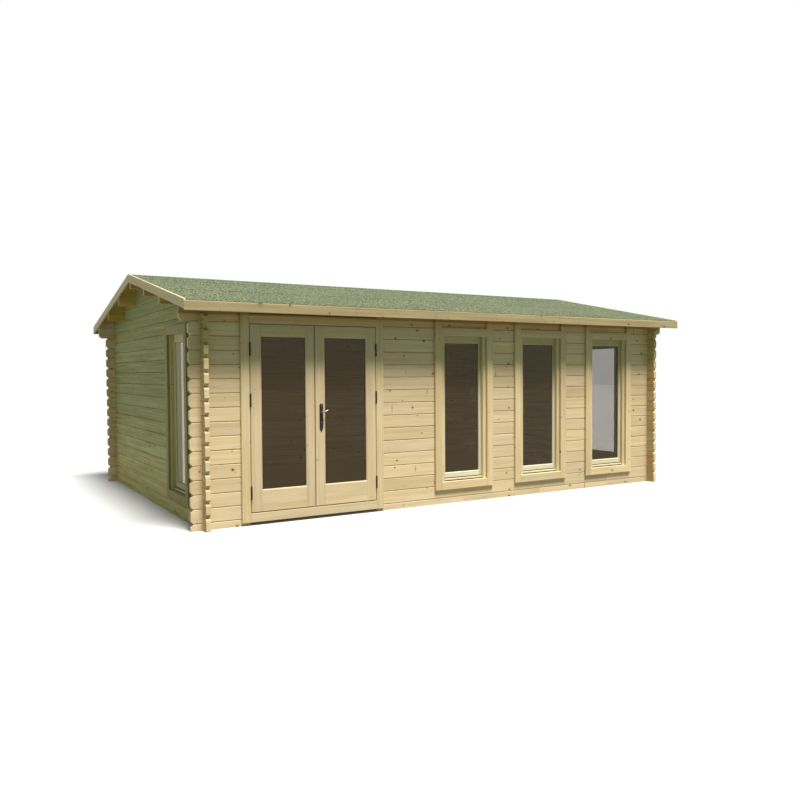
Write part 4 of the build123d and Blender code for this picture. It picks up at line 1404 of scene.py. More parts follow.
@dataclass
class Window:
    """One tall window: frame, trims, sash, seals, pane, and dark strips that paint the shadow in the gaps at
    the drip bar.
    """

    name: str
    place: Matrix
    timber: Material
    sash_timber: Material
    finishes: Finishes
    seed: int
    trim_top: float
    half: float = 0.34
    jamb: float = 0.074
    sill: float = 0.044
    head: float = 0.083
    depth: float = 0.071
    setback: float = 0.033
    lap: float = 0.010
    gap: float = 0.002
    lift: float = 0.020
    stile: float = 0.0465
    top_rail: float = 0.092
    bottom_rail: float = 0.074
    trim_width: float = 0.088
    trim_setback: float = 0.030
    inner_trim: float = 0.070
    glazing: Glazing = Glazing(0.015, 0.030)
    bar_depth: float = 0.022
    bar_height: float = 0.017
    bar_gap: float = 0.002
    bar_lift: float = 0.011
    groove: float = 0.010
    strip: float = 0.004

    def build(self) -> tuple[Piece, Piece, Piece]:
        """Builds the frame, the sash, and the seals with the dark strips of painted shadow.

        Returns:
            The three objects, not yet handed to the frame.
        """
        lip = self.half - self.jamb
        low, high = OPENING_BOTTOM + self.sill, OPENING_TOP - self.head
        fixed, sash, seal = (Timbers(self.seed + more, self.place) for more in (0, 50, 90))
        self._frame(fixed, lip, low, high)
        self._inner_trims(fixed)
        hole, hole_zs = self._sash(sash, lip, low, high)
        self.glazing.seals(seal, hole, hole_zs, self.setback)
        # Dark strips at the drip bar paint the shadow in its groove and gap; they go with the seals.
        self._painted_shadow_strips(seal, lip, low)
        return (fixed.build(f"{self.name}_joinery", self.timber),
                sash.build(f"{self.name}_sash", self.sash_timber),
                seal.build(f"{self.name}_seal", self.finishes.seal))

    def _frame(self, fixed: Timbers, lip: float, low: float, high: float) -> None:
        """Frame members and outer trims.

        Args:
            fixed: where they are collected.
            lip: distance from the middle to the frame's inner edge.
            low: top of the frame's sill.
            high: underside of the frame's head.
        """
        zs, outer, inner = (OPENING_BOTTOM, OPENING_TOP), (0.0, self.setback), (self.setback, self.depth)
        seat, edge, trim = lip + self.lap + self.gap, self.half - self.trim_setback, self.trim_width
        seat_low, seat_high = low + self.lift - self.gap, high + self.lap + self.gap
        for side in (-1, 1):
            fixed.upright(side, (lip, self.half), outer, zs, FRAME_EDGE)
            fixed.upright(side, (seat, self.half), inner, zs, FRAME_EDGE)
            fixed.upright(side, (edge, edge + trim), (-TRIM, 0.0), (low - trim, self.trim_top), TRIM_EDGE)
        for reach, ys, foot, top in ((lip, outer, low, high), (seat, inner, seat_low, seat_high)):
            fixed.rail(reach, ys, (OPENING_BOTTOM, foot), FRAME_EDGE)
            fixed.rail(reach, ys, (top, OPENING_TOP), FRAME_EDGE)
        for span in ((low - trim, low), (high, high + trim)):
            fixed.rail(edge, (-TRIM, 0.0), span, TRIM_EDGE)

    def _inner_trims(self, fixed: Timbers) -> None:
        """Trims on the room side.

        Args:
            fixed: collection that takes them.
        """
        ys = (LOG_THICKNESS, LOG_THICKNESS + INNER_DEEP)
        foot, top = OPENING_BOTTOM - self.inner_trim, OPENING_TOP + self.inner_trim
        for side in (-1, 1):
            fixed.upright(side, (self.half, self.half + self.inner_trim), ys, (foot, top), TRIM_EDGE)
        for span in ((foot, OPENING_BOTTOM), (OPENING_TOP, top)):
            fixed.rail(self.half, ys, span, TRIM_EDGE)

    def _sash(self, sash: Timbers, lip: float, low: float, high: float) -> tuple[Span, Span]:
        """Stiles, rails, moulded edges and the drip bar.

        Args:
            sash: where they are collected.
            lip: distance from the middle to the frame's inner edge.
            low: top of the frame's sill.
            high: underside of the frame's head.

        Returns:
            Left and right edge and bottom and top edge of the glazed opening.
        """
        half, foot, top = lip + self.lap, low + self.lift, high + self.lap
        hole, hole_zs = half - self.stile, (foot + self.bottom_rail, top - self.top_rail)
        wide_xs, wide_zs = self.glazing.around((-hole, hole)), self.glazing.around(hole_zs)
        front, back = self.setback, self.depth
        bar = low + self.bar_lift
        bar_top = bar + self.bar_height
        rail = bar_top + self.groove
        step = [(foot, -back), (rail, -back), (rail, -front - self.groove), (bar_top, -front - self.groove),
                (bar_top, -front), (foot, -front)]
        sash.level(step, half, STEP_EDGE)
        for side in (-1, 1):
            sash.upright(side, (wide_xs[1], half), (front, back), (rail, top), SASH_EDGE)
        for span in ((rail, wide_zs[0]), (wide_zs[1], top)):
            sash.rail(wide_xs[1], (front, back), span, SASH_EDGE)
        self.glazing.beads(sash, wide_xs, wide_zs, front)
        height, out = self.bar_height, self.bar_depth
        nose = [(0.0, 0.0), (height, 0.0), (height - 0.001, out - 0.001), (height - 0.003, out),
                (0.0015, out), (0.0, out - 0.0015)]
        sash.level(nose, lip - self.bar_gap, STOP_EDGE, (0, front, bar))
        return (-hole, hole), hole_zs

    def _painted_shadow_strips(self, seal: Timbers, lip: float, low: float) -> None:
        """Dark strips that paint the shadow in the groove above the drip bar and in the gap below it."""
        reach, front, bar = lip - self.bar_gap, self.setback, low + self.bar_lift
        top = bar + self.bar_height
        seal.rail(reach, (front + self.strip, front + self.groove), (top, top + self.groove), FINE_EDGE)
        seal.rail(reach, (front - self.strip, front), (low, bar), FINE_EDGE)


@dataclass
class Windows:
    """All five windows."""

    finishes: Finishes
    gable_trim_top: float = 1.948

    def places(self) -> dict[str, Matrix]:
        """Where the windows stand, by name.

        Returns:
            Each window's matrix.
        """
        found = {f"window_{k}": Matrix.Translation((x, FRONT, 0)) for k, x in enumerate(WINDOW_XS, 1)}
        for side, name in SIDES:
            turn = Matrix.Rotation(math.radians(90 * side), 4, "Z")
            found[f"{name}_gable_window"] = Matrix.Translation((side * RIGHT, GABLE_WINDOW_Y, 0)) @ turn
        return found

    def build(self) -> None:
        """Builds the windows; each sash stands for its share of the frame's node of sashes."""
        woods = {True: (self.finishes.gable_joinery, self.finishes.gable_joinery),
                 False: (self.finishes.joinery, self.finishes.sash)}
        for seed, (name, place) in enumerate(self.places().items(), 100):
            gable = "gable" in name
            top = self.gable_trim_top if gable else TRIM_TOP
            joinery, sash, seal = Window(name, place, *woods[gable], self.finishes, seed, top).build()
            Parts.add(joinery, "root", "joinery_timber", f"{name}_frame")
            Parts.add(sash, "root", "joinery_timber", "window_sashes")
            Parts.add(seal, "root", "black_metal")
        Parts.dress(["window_glass"], self.finishes.glass)


@dataclass
class Doorway:
    """Door frame, sill and stops."""

    finishes: Finishes
    half: float = 0.687
    jamb: float = 0.044
    trim_width: float = 0.088
    head_trim: float = 0.089
    head: float = 0.030
    head_z: float = 1.931
    sill_foot: float = 0.030
    sill_top: float = 0.118
    sill_ease: float = 0.003
    sill_shadow_strip: float = 0.016
    stop_lap: float = 0.018
    stop_face: float = 0.017
    stop_width: float = 0.070
    stop_gap: float = 0.0005
    floor_top: float = 0.063

    def build(self) -> None:
        """Builds the fixed woodwork of the doorway."""
        walls, trims, head = (0.0, LOG_THICKNESS), (-TRIM, 0.0), self.head_z + self.head
        for seed, (side, name) in enumerate(SIDES, 200):
            post = Timbers(seed, DOORWAY)
            post.upright(side, (self.half, self.half + self.jamb), walls, (0.0, head), POST_EDGE)
            post.upright(side, (self.half, self.half + self.trim_width), trims, (self.sill_foot, TRIM_TOP),
                         TRIM_EDGE)
            self._add(post, f"door_{name}_post", f"door_{name}_jamb")
        lintel = Timbers(210, DOORWAY)
        lintel.rail(self.half, walls, (self.head_z, head), POST_EDGE)
        lintel.rail(self.half, trims, (self.head_z, self.head_z + self.head_trim), TRIM_EDGE)
        self._add(lintel, "door_lintel", "door_head")
        self._sill()
        self._stops()

    def _add(self, timbers: Timbers, name: str, node: str) -> None:
        """Hands fixed woodwork to the frame in place of a node."""
        Parts.add(timbers.build(name, self.finishes.joinery), "root", "joinery_timber", node)

    def _sill(self) -> None:
        """Threshold: its face flush with the trims, an upstand behind the leaves, and a dark strip below it
        that paints the shadow in the gap under the sill.
        """
        sill = Timbers(220, DOORWAY)
        foot, top, ease, back = self.sill_foot, self.sill_top, self.sill_ease, -LOG_THICKNESS
        upstand = top + self.stop_lap
        step = -self.stop_face
        section = [(0.0, 0.0), (0.0, back), (upstand, back), (upstand, step), (top, step), (top, TRIM - ease),
                   (top - ease, TRIM), (foot + ease, TRIM), (foot, TRIM - ease), (foot, 0.0)]
        sill.level(section, self.half, FINE_EDGE)
        Parts.add(sill.build("door_threshold", self.finishes.sill), "root", "joinery_timber", "door_sill")
        # Painted shadow: a dark rubber strip fills the gap under the sill where shade falls.
        seal = Timbers(221, DOORWAY)
        seal.rail(self.half, (-self.sill_shadow_strip, 0.0), (foot * 0.4, foot), STOP_EDGE)
        Parts.add(seal.build("door_sill_seal", self.finishes.seal), "root", "black_metal")

    def _stops(self) -> None:
        """Inner boards that the leaves close against."""
        stops = Timbers(230, DOORWAY)
        boards, blocks = (LOG_THICKNESS, LOG_THICKNESS + INNER_DEEP), (self.stop_face, LOG_THICKNESS)
        near, low = self.half - self.stop_lap, self.head_z - self.stop_lap
        reach = near + self.stop_width
        for side in (-1, 1):
            stops.upright(side, (near, reach), boards, (self.floor_top, low), TRIM_EDGE)
            stops.upright(side, (near, self.half), blocks, (self.sill_top + self.stop_lap, low), STOP_EDGE)
        stops.rail(reach, boards, (low + self.stop_gap, low + self.stop_width), TRIM_EDGE)
        stops.rail(self.half, blocks, (low + self.stop_gap, self.head_z), STOP_EDGE)
        self._add(stops, "door_inner_stops", "door_stops")


@dataclass
class Leaf:
    """One glazed door leaf."""

    side: int
    finishes: Finishes
    seed: int
    half: float = 0.687
    gap: float = 0.006
    meeting_gap: float = 0.008
    meeting_shift: float = 0.011
    hinge_stile: float = 0.113
    meeting_stile: float = 0.094
    lock_stile: float = 0.108
    top_rail: float = 0.118
    bottom_rail: float = 0.215
    thickness: float = 0.038
    bottom: float = 0.124
    top: float = 1.925
    bevel: float = 0.004
    glazing: Glazing = Glazing(0.020, 0.031)

    def span(self) -> Span:
        """Near and far edge of the leaf from the doorway's middle."""
        return -self.side * self.meeting_shift + self.meeting_gap / 2, self.half - self.gap

    def build(self, body: str) -> None:
        """Builds the leaf and its seals and hands them to the frame.

        Args:
            body: moving body that the leaf rides on.
        """
        near, far = self.span()
        hole = (near + (self.lock_stile if self.side > 0 else self.meeting_stile), far - self.hinge_stile)
        hole_zs = (self.bottom + self.bottom_rail, self.top - self.top_rail)
        wide, wide_zs = self.glazing.around(hole), self.glazing.around(hole_zs)
        place = Matrix.Translation((DOOR_X, FRONT - TRIM, 0))
        leaf, seal = Timbers(self.seed, place), Timbers(self.seed + 40, place)
        self._meeting(leaf, near, wide[0])
        leaf.upright(self.side, (wide[1], far), (0.0, self.thickness), (self.bottom, self.top), LEAF_EDGE)
        xs = mirrored(self.side, *wide)
        for low, high in ((self.bottom, wide_zs[0]), (wide_zs[1], self.top)):
            leaf.board((xs[0], 0.0, low), (xs[1], self.thickness, high), 0, LEAF_EDGE)
        self.glazing.beads(leaf, xs, wide_zs)
        Parts.add(leaf.build(f"{body}_leaf_panelled", self.finishes.leaf), body, "joinery_timber",
                  f"{body}_leaf")
        self.glazing.seals(seal, mirrored(self.side, *hole), hole_zs)
        Parts.add(seal.build(f"{body}_seal", self.finishes.seal), body, "black_metal")

    def _meeting(self, leaf: Timbers, near: float, inner: float) -> None:
        """Meeting stile with its bevelled edge.

        Args:
            leaf: collection that takes it.
            near: its side at the middle of the doorway.
            inner: its side at the glass.
        """
        r, deep, bevelled = LEAF_EDGE, self.thickness, near + self.bevel
        outline = [(near + r, 0.0), (inner, 0.0), (inner, deep), (bevelled + r, deep), (bevelled, deep - r),
                   (near, r)]
        axes = (Vector((0, 0, 1)), Vector((1, 0, 0)), Vector((0, 1, 0)))
        section = _anticlockwise([(self.side * x, y) for x, y in outline])
        leaf.member(section, axes, leaf.place.to_translation(), self.bottom, self.top, SASH_EDGE)


@dataclass
class Floor:
    """Floor boards on joists."""

    finishes: Finishes
    joist: float = 0.044
    thickness: float = 0.019
    count: int = 40
    joists: int = 11
    joint: float = 0.0022

    def build(self) -> None:
        """Builds the boards with the board tree and the joists one by one."""
        half_x, half_y = WALL_LENGTH / 2 - LOG_THICKNESS, WALL_DEPTH / 2 - LOG_THICKNESS
        step = 2 * half_y / self.count
        wide = (step - BOARD_GAP) / 2
        board = Timbers(400)
        v, top = self.joint, self.thickness
        section = [(-wide, 0.0), (wide, 0.0), (wide, top - v), (wide - v, top), (v - wide, top),
                   (-wide, top - v)]
        board.member(section, (Vector((1, 0, 0)), Vector((0, 1, 0)), Vector((0, 0, 1))),
                     Vector((0, -half_y + step / 2, self.joist)), -half_x, half_x)
        boards = BoardRow(self.finishes.floor).apply("floor_planks", board.base("floor_board"), {
            "Count": self.count, "Step": (0.0, step, 0.0), "Seed": 41})
        Parts.add(boards, "root", "rough_timber", "floor_boards")
        beams = Timbers(410)
        spacing = (2 * half_x - self.joist) / (self.joists - 1)
        for k in range(self.joists):
            low = -half_x + spacing * k
            beams.board((low, -half_y, 0.0), (low + self.joist, half_y, self.joist), 1)
        Parts.add(beams.build("floor_beams", self.finishes.rough), "root", "rough_timber", "floor_joists")


@dataclass
class Roof:
    """Roof boards, felt, purlins, fascias and bargeboards."""

    finishes: Finishes
    board_count: int = 60
    joint: float = 0.003
    ridge_gap: float = 0.0001
    felt_step: float = 0.0026
    felt_columns: int = 72
    sway: float = 0.004
    ripple: float = 0.0006
    laps: tuple[float, ...] = (0.93, 1.86)
    lap_width: float = 0.08
    lap_face: float = 0.0012
    cap: float = 0.14
    fascia_height: float = 0.090
    barge_height: float = 0.090
    barge_rise: float = 0.006
    purlin: tuple[float, float] = (0.044, 0.134)
    purlin_spacing: float = 0.65

    def build(self) -> None:
        """Builds every piece of the roof."""
        for front, name in ((True, "front"), (False, "rear")):
            self._boards(front, name)
            self._felt(front, name)
            self._fascia(front, name)
        for side, name in SIDES:
            self._barges(side, name)
        self._purlins()

    def _boards(self, front: bool, name: str) -> None:
        """Boards from eave to ridge with a V at each joint below.

        Args:
            front: whether it is the front slope.
            name: the slope's name.
        """
        up, normal = slope_axes(front)
        step = 2 * ROOF_X / self.board_count
        wide, v = (step - BOARD_GAP) / 2, self.joint
        section = [(v - wide, 0.0), (wide - v, 0.0), (wide, v), (wide, BOARD_DEEP), (-wide, BOARD_DEEP),
                   (-wide, v)]
        board = Timbers(500 if front else 501)
        across = Vector((-1.0 if front else 1.0, 0, 0))
        board.member(section, (up, across, normal), Vector((step / 2 - ROOF_X, 0, underside(0))),
                     -ROOF_Y / RUN, -self.ridge_gap, STOP_EDGE, lambda w, d: (d * SLOPE, d * SLOPE))
        boards = BoardRow(self.finishes.soffit).apply(f"roof_planks_{name}", board.base("roof_board"), {
            "Count": self.board_count, "Step": (step, 0.0, 0.0), "Seed": 51 if front else 52})
        Parts.add(boards, "root", "rough_timber", f"roof_boards_{name}")

    def lap_stations(self) -> list[tuple[float, float]]:
        """Distance from the ridge line and felt thickness, from the eave up, twice at each lap's edge.

        Returns:
            The stations as (distance, thickness).
        """
        thin, thick = FELT_DEEP, FELT_DEEP + self.felt_step
        stations = [(EAVES_Y, thin), (EAVES_Y - 0.05, thin)]
        for lap in self.laps:
            edge = EAVES_Y - lap * RUN
            inner = edge - self.lap_width
            stations += [(edge + 0.3, thin), (edge + self.lap_face, thin), (edge, thick), (inner, thick),
                         (inner - 0.04, thin)]
        stations += [(self.cap + self.lap_face, thin), (self.cap, thick), (0.05, thick)]
        return stations + [(self.ridge_gap, thick)]

    def _felt(self, front: bool, name: str) -> None:
        """One sheet with lapped courses and a strip over the ridge, slightly uneven.

        Args:
            front: whether it is the front slope.
            name: the slope's name.
        """
        sign = -1.0 if front else 1.0
        stations, columns = self.lap_stations(), self.felt_columns
        ends = (stations[0][0], stations[-1][0])
        work = bmesh.new()
        below: list[list[bmesh.types.BMVert]] = []
        above: list[list[bmesh.types.BMVert]] = []
        for layer in (below, above):
            for y, thick in stations:
                line = []
                for k in range(columns + 1):
                    x = -ROOF_X + 2 * ROOF_X * k / columns
                    wave = noise.noise(Vector((x * 1.7, y * 2.3, 3.0 if front else 9.0)))
                    at = y + (0.0 if y in ends else wave * self.sway)
                    lift = (thick + wave * self.ripple) / RUN if layer is above else 0.0
                    line.append(work.verts.new((x, sign * at, deck(at) + lift)))
                layer.append(line)
        last = len(stations) - 1
        for r in range(last):
            for k in range(columns):
                for layer in (below, above):
                    work.faces.new((layer[r][k], layer[r][k + 1], layer[r + 1][k + 1], layer[r + 1][k]))
            for k in (0, columns):
                work.faces.new((below[r][k], below[r + 1][k], above[r + 1][k], above[r][k]))
        for r in (0, last):
            for k in range(columns):
                work.faces.new((below[r][k], below[r][k + 1], above[r][k + 1], above[r][k]))
        Parts.add(closed(work, f"felt_sheets_{name}", self.finishes.felt, 25.0), "root", "mineral_felt",
                  f"roof_felt_{name}")

    def _fascia(self, front: bool, name: str) -> None:
        """Board along the eave, its top cut to the slope.

        Args:
            front: whether it is the front eave.
            name: the eave's name.
        """
        sign = -1.0 if front else 1.0
        edge, face, c, ease = deck(EAVES_Y), EAVES_Y - NAIL_PROUD, LEAF_EDGE, FINE_EDGE
        foot = edge - self.fascia_height
        section = [(foot, ROOF_Y), (foot, face - c), (foot + c, face), (edge - ease, face),
                   (edge, face - ease), (deck(ROOF_Y), ROOF_Y)]
        axes = (Vector((-sign, 0, 0)), Vector((0, 0, 1)), Vector((0, sign, 0)))
        board = Timbers(520 if front else 521)
        board.member(_anticlockwise(section), axes, Vector(), -BARGE_X, BARGE_X, SASH_EDGE)
        Parts.add(board.build(f"fascia_board_{name}", self.finishes.fascia), "root", "joinery_timber",
                  f"fascia_{name}")

    def _barges(self, side: int, name: str) -> None:
        """Two boards up to the apex of one gable, plumb at both ends.

        Args:
            side: -1 left and 1 right.
            name: the gable's name.
        """
        crest = deck(0) + FELT_DEEP / RUN + self.barge_rise
        height, thickness = self.barge_height * RUN, BARGE_X - NAIL_PROUD - ROOF_X
        boards = Timbers(530 + side)
        section = [(w - height / 2, d) for w, d in eased(height, thickness, LEAF_EDGE)]
        for front in (True, False):
            up, normal = slope_axes(front)
            apex = Vector((side * (ROOF_X + thickness / 2), 0, crest))
            boards.member(section, (up, normal, Vector((1.0 if front else -1.0, 0, 0))), apex, -ROOF_Y / RUN,
                          -0.00025, FINE_EDGE, lambda w, d: (w * SLOPE, w * SLOPE))
        Parts.add(boards.build(f"{name}_barge_boards", self.finishes.barge), "root", "joinery_timber",
                  f"{name}_bargeboards")

    def _purlins(self) -> None:
        """Five timbers under the boards, their tops cut to the slope."""
        thick, height = self.purlin
        ease = SASH_EDGE
        beams = Timbers(540)
        for k in range(-2, 3):
            y = self.purlin_spacing * k
            low, high = y - thick / 2, y + thick / 2
            foot = underside(abs(y) + (thick / 2 if k else 0.0)) - height
            section = [(foot, -low - ease), (foot + ease, -low), (underside(low), -low)]
            section += [(underside(0.0), 0.0)] if k == 0 else []
            section += [(underside(high), -high), (foot + ease, -high), (foot, -high + ease)]
            beams.level(section, ROOF_X, ease)
        Parts.add(beams.build("roof_purlins", self.finishes.purlin), "root", "rough_timber", "purlins")


@dataclass
class Nails:
    """Nail heads of the roof covering and the trims."""

    finishes: Finishes
    roof: Roof
    clout: float = 0.0048
    clout_spacing: float = 0.075
    oval: float = 0.0021
    oval_spacing: float = 0.42
    trim_line: float = 0.354
    pair: float = 0.024
    trim_end: float = 1.98
    eave_inset: float = 0.03
    cap_inset: float = 0.02
    lap_inset: float = 0.025
    verge_inset: float = 0.022
    row_inset: float = 0.05

    def build(self) -> None:
        """Builds the clout nails in the felt and the small nails in the boards."""
        tree = Fixings(self.finishes.zinc)
        head = nail_head()
        clouts = tree.apply("clout_nails", rows("clout_rows", self._felt_rows()), {
            "Head": head, "Spacing": self.clout_spacing, "Size": self.clout, "Seed": 61})
        Parts.add(clouts, "root", "satin_steel")
        ovals = tree.apply("board_nails", rows("board_rows", self._board_rows()), {
            "Head": head, "Spacing": self.oval_spacing, "Size": self.oval, "Seed": 62})
        Parts.add(ovals, "root", "satin_steel")
        bpy.data.objects.remove(head)

    def _felt_rows(self) -> list[Row]:
        """Rows along the eave, over each lap and along the verges.

        Returns:
            The rows.
        """
        found: list[Row] = []
        thick, laps = FELT_DEEP + self.roof.felt_step, [EAVES_Y - lap * RUN for lap in self.roof.laps]
        lines = [(EAVES_Y - self.eave_inset, FELT_DEEP), (self.roof.cap - self.cap_inset, thick)]
        lines += [(lap - self.lap_inset, thick) for lap in laps]
        reach, verge = ROOF_X - self.row_inset, ROOF_X - self.verge_inset
        edges = [EAVES_Y - 0.07, *laps, self.roof.cap]
        for front in (True, False):
            sign = -1.0 if front else 1.0
            normal = slope_axes(front)[1]
            for y, depth in lines:
                z = deck(y) + depth / RUN
                found.append(((-reach, sign * y, z), (reach, sign * y, z), normal))
            for high, low in zip(edges, edges[1:]):
                ys = (high - (0.06 if high == edges[0] else 0.16), low + 0.03)
                for x in (-verge, verge):
                    upper, lower = ((x, sign * y, deck(y) + FELT_DEEP / RUN) for y in ys)
                    found.append((upper, lower, normal))
        return found

    def _board_rows(self) -> list[Row]:
        """Rows down the trims, along the fascias and up the bargeboards.

        Returns:
            The rows.
        """
        found: list[Row] = []
        y, half = FRONT - TRIM, Doorway.half + Doorway.trim_width / 2
        columns = [(DOOR_X + side * half, 0.12) for side in (-1, 1)]
        columns += [(x + side * self.trim_line, 0.24) for x in WINDOW_XS for side in (-1, 1)]
        for x, low in columns:
            for dx in (-self.pair, self.pair):
                found.append(((x + dx, y, low), (x + dx, y, self.trim_end), Vector((0, -1, 0))))
        crest = deck(0) - 0.03
        for sign in (-1.0, 1.0):
            y = sign * (EAVES_Y - NAIL_PROUD)
            for z in (deck(EAVES_Y) - 0.022, deck(EAVES_Y) - 0.068):
                found.append(((-3.1, y, z), (3.1, y, z), Vector((0, sign, 0))))
            for side in (-1.0, 1.0):
                x = side * (BARGE_X - NAIL_PROUD)
                foot, tip = ((x, sign * at, crest - at * SLOPE) for at in (2.18, 0.05))
                found.append((foot, tip, Vector((side, 0, 0))))
        return found


@dataclass
class Ironmongery:
    """Hinges, handle plates and levers."""

    finishes: Finishes
    heights: tuple[float, ...] = (0.315, 1.2, 1.69)
    length: float = 0.130
    radius: float = 0.0075
    pin: float = 0.0038
    pin_length: float = 0.043
    line: tuple[float, float] = (0.684, -2.035)
    plate_width: float = 0.036
    backplate: float = 0.006
    plate_near: float = 0.0027
    plate_far: float = 0.006
    screw_rise: float = 0.033
    screw_inset: float = 0.022
    screw_spacing: float = 0.021
    screw: float = 0.0034
    plate_screws: tuple[float, float] = (0.906, 1.128)
    handle_x: float = DOOR_X + 0.055
    lever_z: float = 1.066
    reach: float = 0.061
    rise: float = 0.020
    leaf_faces: tuple[float, float] = (-2.027, -1.989)

    def build(self) -> None:
        """Builds the hinges, the screws and the handle."""
        pins = Forms()
        for side, name in SIDES:
            knuckles = Forms()
            for height in self.heights:
                self._frame_half(pins, side, height)
                self._leaf_half(knuckles, side, height)
            Parts.add(knuckles.build(f"{name}_hinge_knuckles", self.finishes.iron), f"{name}_door",
                      "black_metal", f"{name}_door_knuckles")
        Parts.add(pins.build("hinge_frame_halves", self.finishes.iron), "root", "black_metal", "hinge_pins")
        plates = softened("handle_plates", "handle_back_plates", 0.0012, self.finishes.iron)
        Parts.add(plates, "right_door", "black_metal", "handle_plates")
        self._levers()
        self._screws()

    def _barrel(self, low: float, high: float) -> list[tuple[float, float]]:
        """Outline of a barrel with a groove near its outer end, from low to high.

        Args:
            low: height of the inner end.
            high: height of the outer end.

        Returns:
            The outline as (radius, height).
        """
        r, way = self.radius, 1.0 if high > low else -1.0
        waist = r - 0.0007
        steps = ((r, 0.0), (r, 0.052), (waist, 0.0526), (waist, 0.0544), (r, 0.055), (r, 0.0625),
                 (r - 0.0008, 0.0638), (r - 0.0026, 0.0645), (0.0, 0.0645))
        return [(radius, low + way * along) for radius, along in steps]

    def _frame_half(self, pins: Forms, side: int, height: float) -> None:
        """Lower barrel with its pin and the plate in the trim.

        Args:
            pins: where it is collected.
            side: -1 left and 1 right.
            height: the hinge's middle.
        """
        x, y = self.line
        middle = height - 0.0005
        outline = list(reversed(self._barrel(middle, middle - self.length / 2)))
        tip = middle + self.pin_length
        outline += [(self.pin, middle), (self.pin, tip - 0.002), (self.pin - 0.0015, tip), (0.0, tip)]
        pins.turned(outline, Matrix.Translation((DOOR_X + side * x, y, 0)))
        self._plate(pins, side, x + self.plate_near, x + self.plate_far, (height - self.length / 2, middle))

    def _leaf_half(self, knuckles: Forms, side: int, height: float) -> None:
        """Upper barrel, bored for the pin, and the plate in the leaf's edge.

        Args:
            knuckles: where it is collected.
            side: -1 left and 1 right.
            height: the hinge's middle.
        """
        x, y = self.line
        middle = height + 0.0005
        bore, roof = self.pin + 0.0004, middle + self.pin_length + 0.002
        outline = [(0.0, roof), (bore, roof), (bore, middle),
                   *self._barrel(middle, middle + self.length / 2)]
        knuckles.turned(outline, Matrix.Translation((DOOR_X + side * x, y, 0)))
        self._plate(knuckles, side, x - self.plate_far, x - self.plate_near,
                    (middle, height + self.length / 2))

    def _plate(self, forms: Forms, side: int, low: float, high: float, zs: Span) -> None:
        """One hinge plate between two distances from the doorway's middle."""
        xs = mirrored(side, low, high, DOOR_X)
        y = self.line[1]
        forms.slab((xs[0], y, zs[0]), (xs[1], y + self.plate_width, zs[1]), 0.0004)

    def _levers(self) -> None:
        """A lever on each face of the right leaf."""
        forms = Forms()
        for face, way in zip(self.leaf_faces, (-1, 1)):
            self._lever(forms, face + way * self.backplate, way)
        Parts.add(forms.build("lever_handles", self.finishes.steel), "door_lever", "satin_steel",
                  "door_lever")

    def _lever(self, forms: Forms, face: float, way: int) -> None:
        """Neck and arm of one lever.

        Args:
            forms: where it is collected.
            face: the plate's face along Y.
            way: -1 outside and 1 inside.
        """
        neck = [(0.0, -0.004), (0.0048, -0.004), (0.0048, 0.001), (0.0112, 0.001), (0.0115, 0.0022),
                (0.0092, 0.0048), (0.0078, 0.010), (0.0074, 0.020), (0.008, 0.029), (0.0, 0.029)]
        turn = Matrix.Rotation(math.radians(90 if way < 0 else -90), 4, "X")
        forms.turned(neck, Matrix.Translation((self.handle_x, face, self.lever_z)) @ turn)
        middle = face + way * 0.032
        root, tip = 0.009, 0.006
        near, far = ([(math.sin(math.radians(a)), math.cos(math.radians(a))) for a in angles]
                     for angles in ((82, 65, 45, 22), (25, 50, 70, 84)))
        stations = [(-root * s, c) for s, c in near]
        stations += [(self.reach * k / 14, 1.0) for k in range(15)]
        stations += [(self.reach + tip * s, c) for s, c in far]
        turns = [2 * math.pi * k / 18 for k in range(18)]
        oval = [(rounded(math.sin(a)), rounded(math.cos(a))) for a in turns]
        rings = []
        for along, swell in stations:
            t = min(max(along / self.reach, 0.0), 1.0)
            height = 0.2 * self.rise * t + 0.8 * self.rise * t * t
            slope = Vector((self.reach, 0, self.rise * (0.2 + 1.6 * t))).normalized()
            lift = slope * (along - t * self.reach)
            centre = Vector((self.handle_x + t * self.reach, middle, self.lever_z + height)) + lift
            half = (root + (tip - root) * t) * swell
            deep = (0.006 - 0.001 * t) * swell ** 0.6
            side = Vector((-slope.z, 0, slope.x))
            rings.append([centre + side * half * s + Vector((0, deep * c, 0)) for s, c in oval])
        forms.loft(rings)

    def _screws(self) -> None:
        """Screws in the hinge plates and the handle plates, one object for each body."""
        tree, head = Fixings(self.finishes.zinc), screw_head()
        found: dict[str, list[Row]] = {"root": [], "left_door": [], "right_door": []}
        x, y, span = self.line[0], self.line[1] + self.screw_inset, self.screw_spacing
        for side, name in ((-1, "left_door"), (1, "right_door")):
            for height in self.heights:
                for body, way in (("root", 1), (name, -1)):
                    at = DOOR_X + side * (x + way * self.plate_near)
                    middle = height - way * self.screw_rise
                    found[body].append(((at, y, middle - span), (at, y, middle + span),
                                        Vector((-way * side, 0, 0))))
        for face, way in zip(self.leaf_faces, (-1, 1)):
            at = face + way * self.backplate
            for z in self.plate_screws:
                low, high = ((self.handle_x, at, z + lift) for lift in (-0.0001, 0.0001))
                found["right_door"].append((low, high, Vector((0, way, 0))))
        for body, lines in found.items():
            screws = tree.apply(f"{body}_screws", rows(f"{body}_screw_rows", lines), {
                "Head": head, "Spacing": span, "Size": self.screw, "Seed": 71})
            Parts.add(screws, body, "satin_steel")
        bpy.data.objects.remove(head)


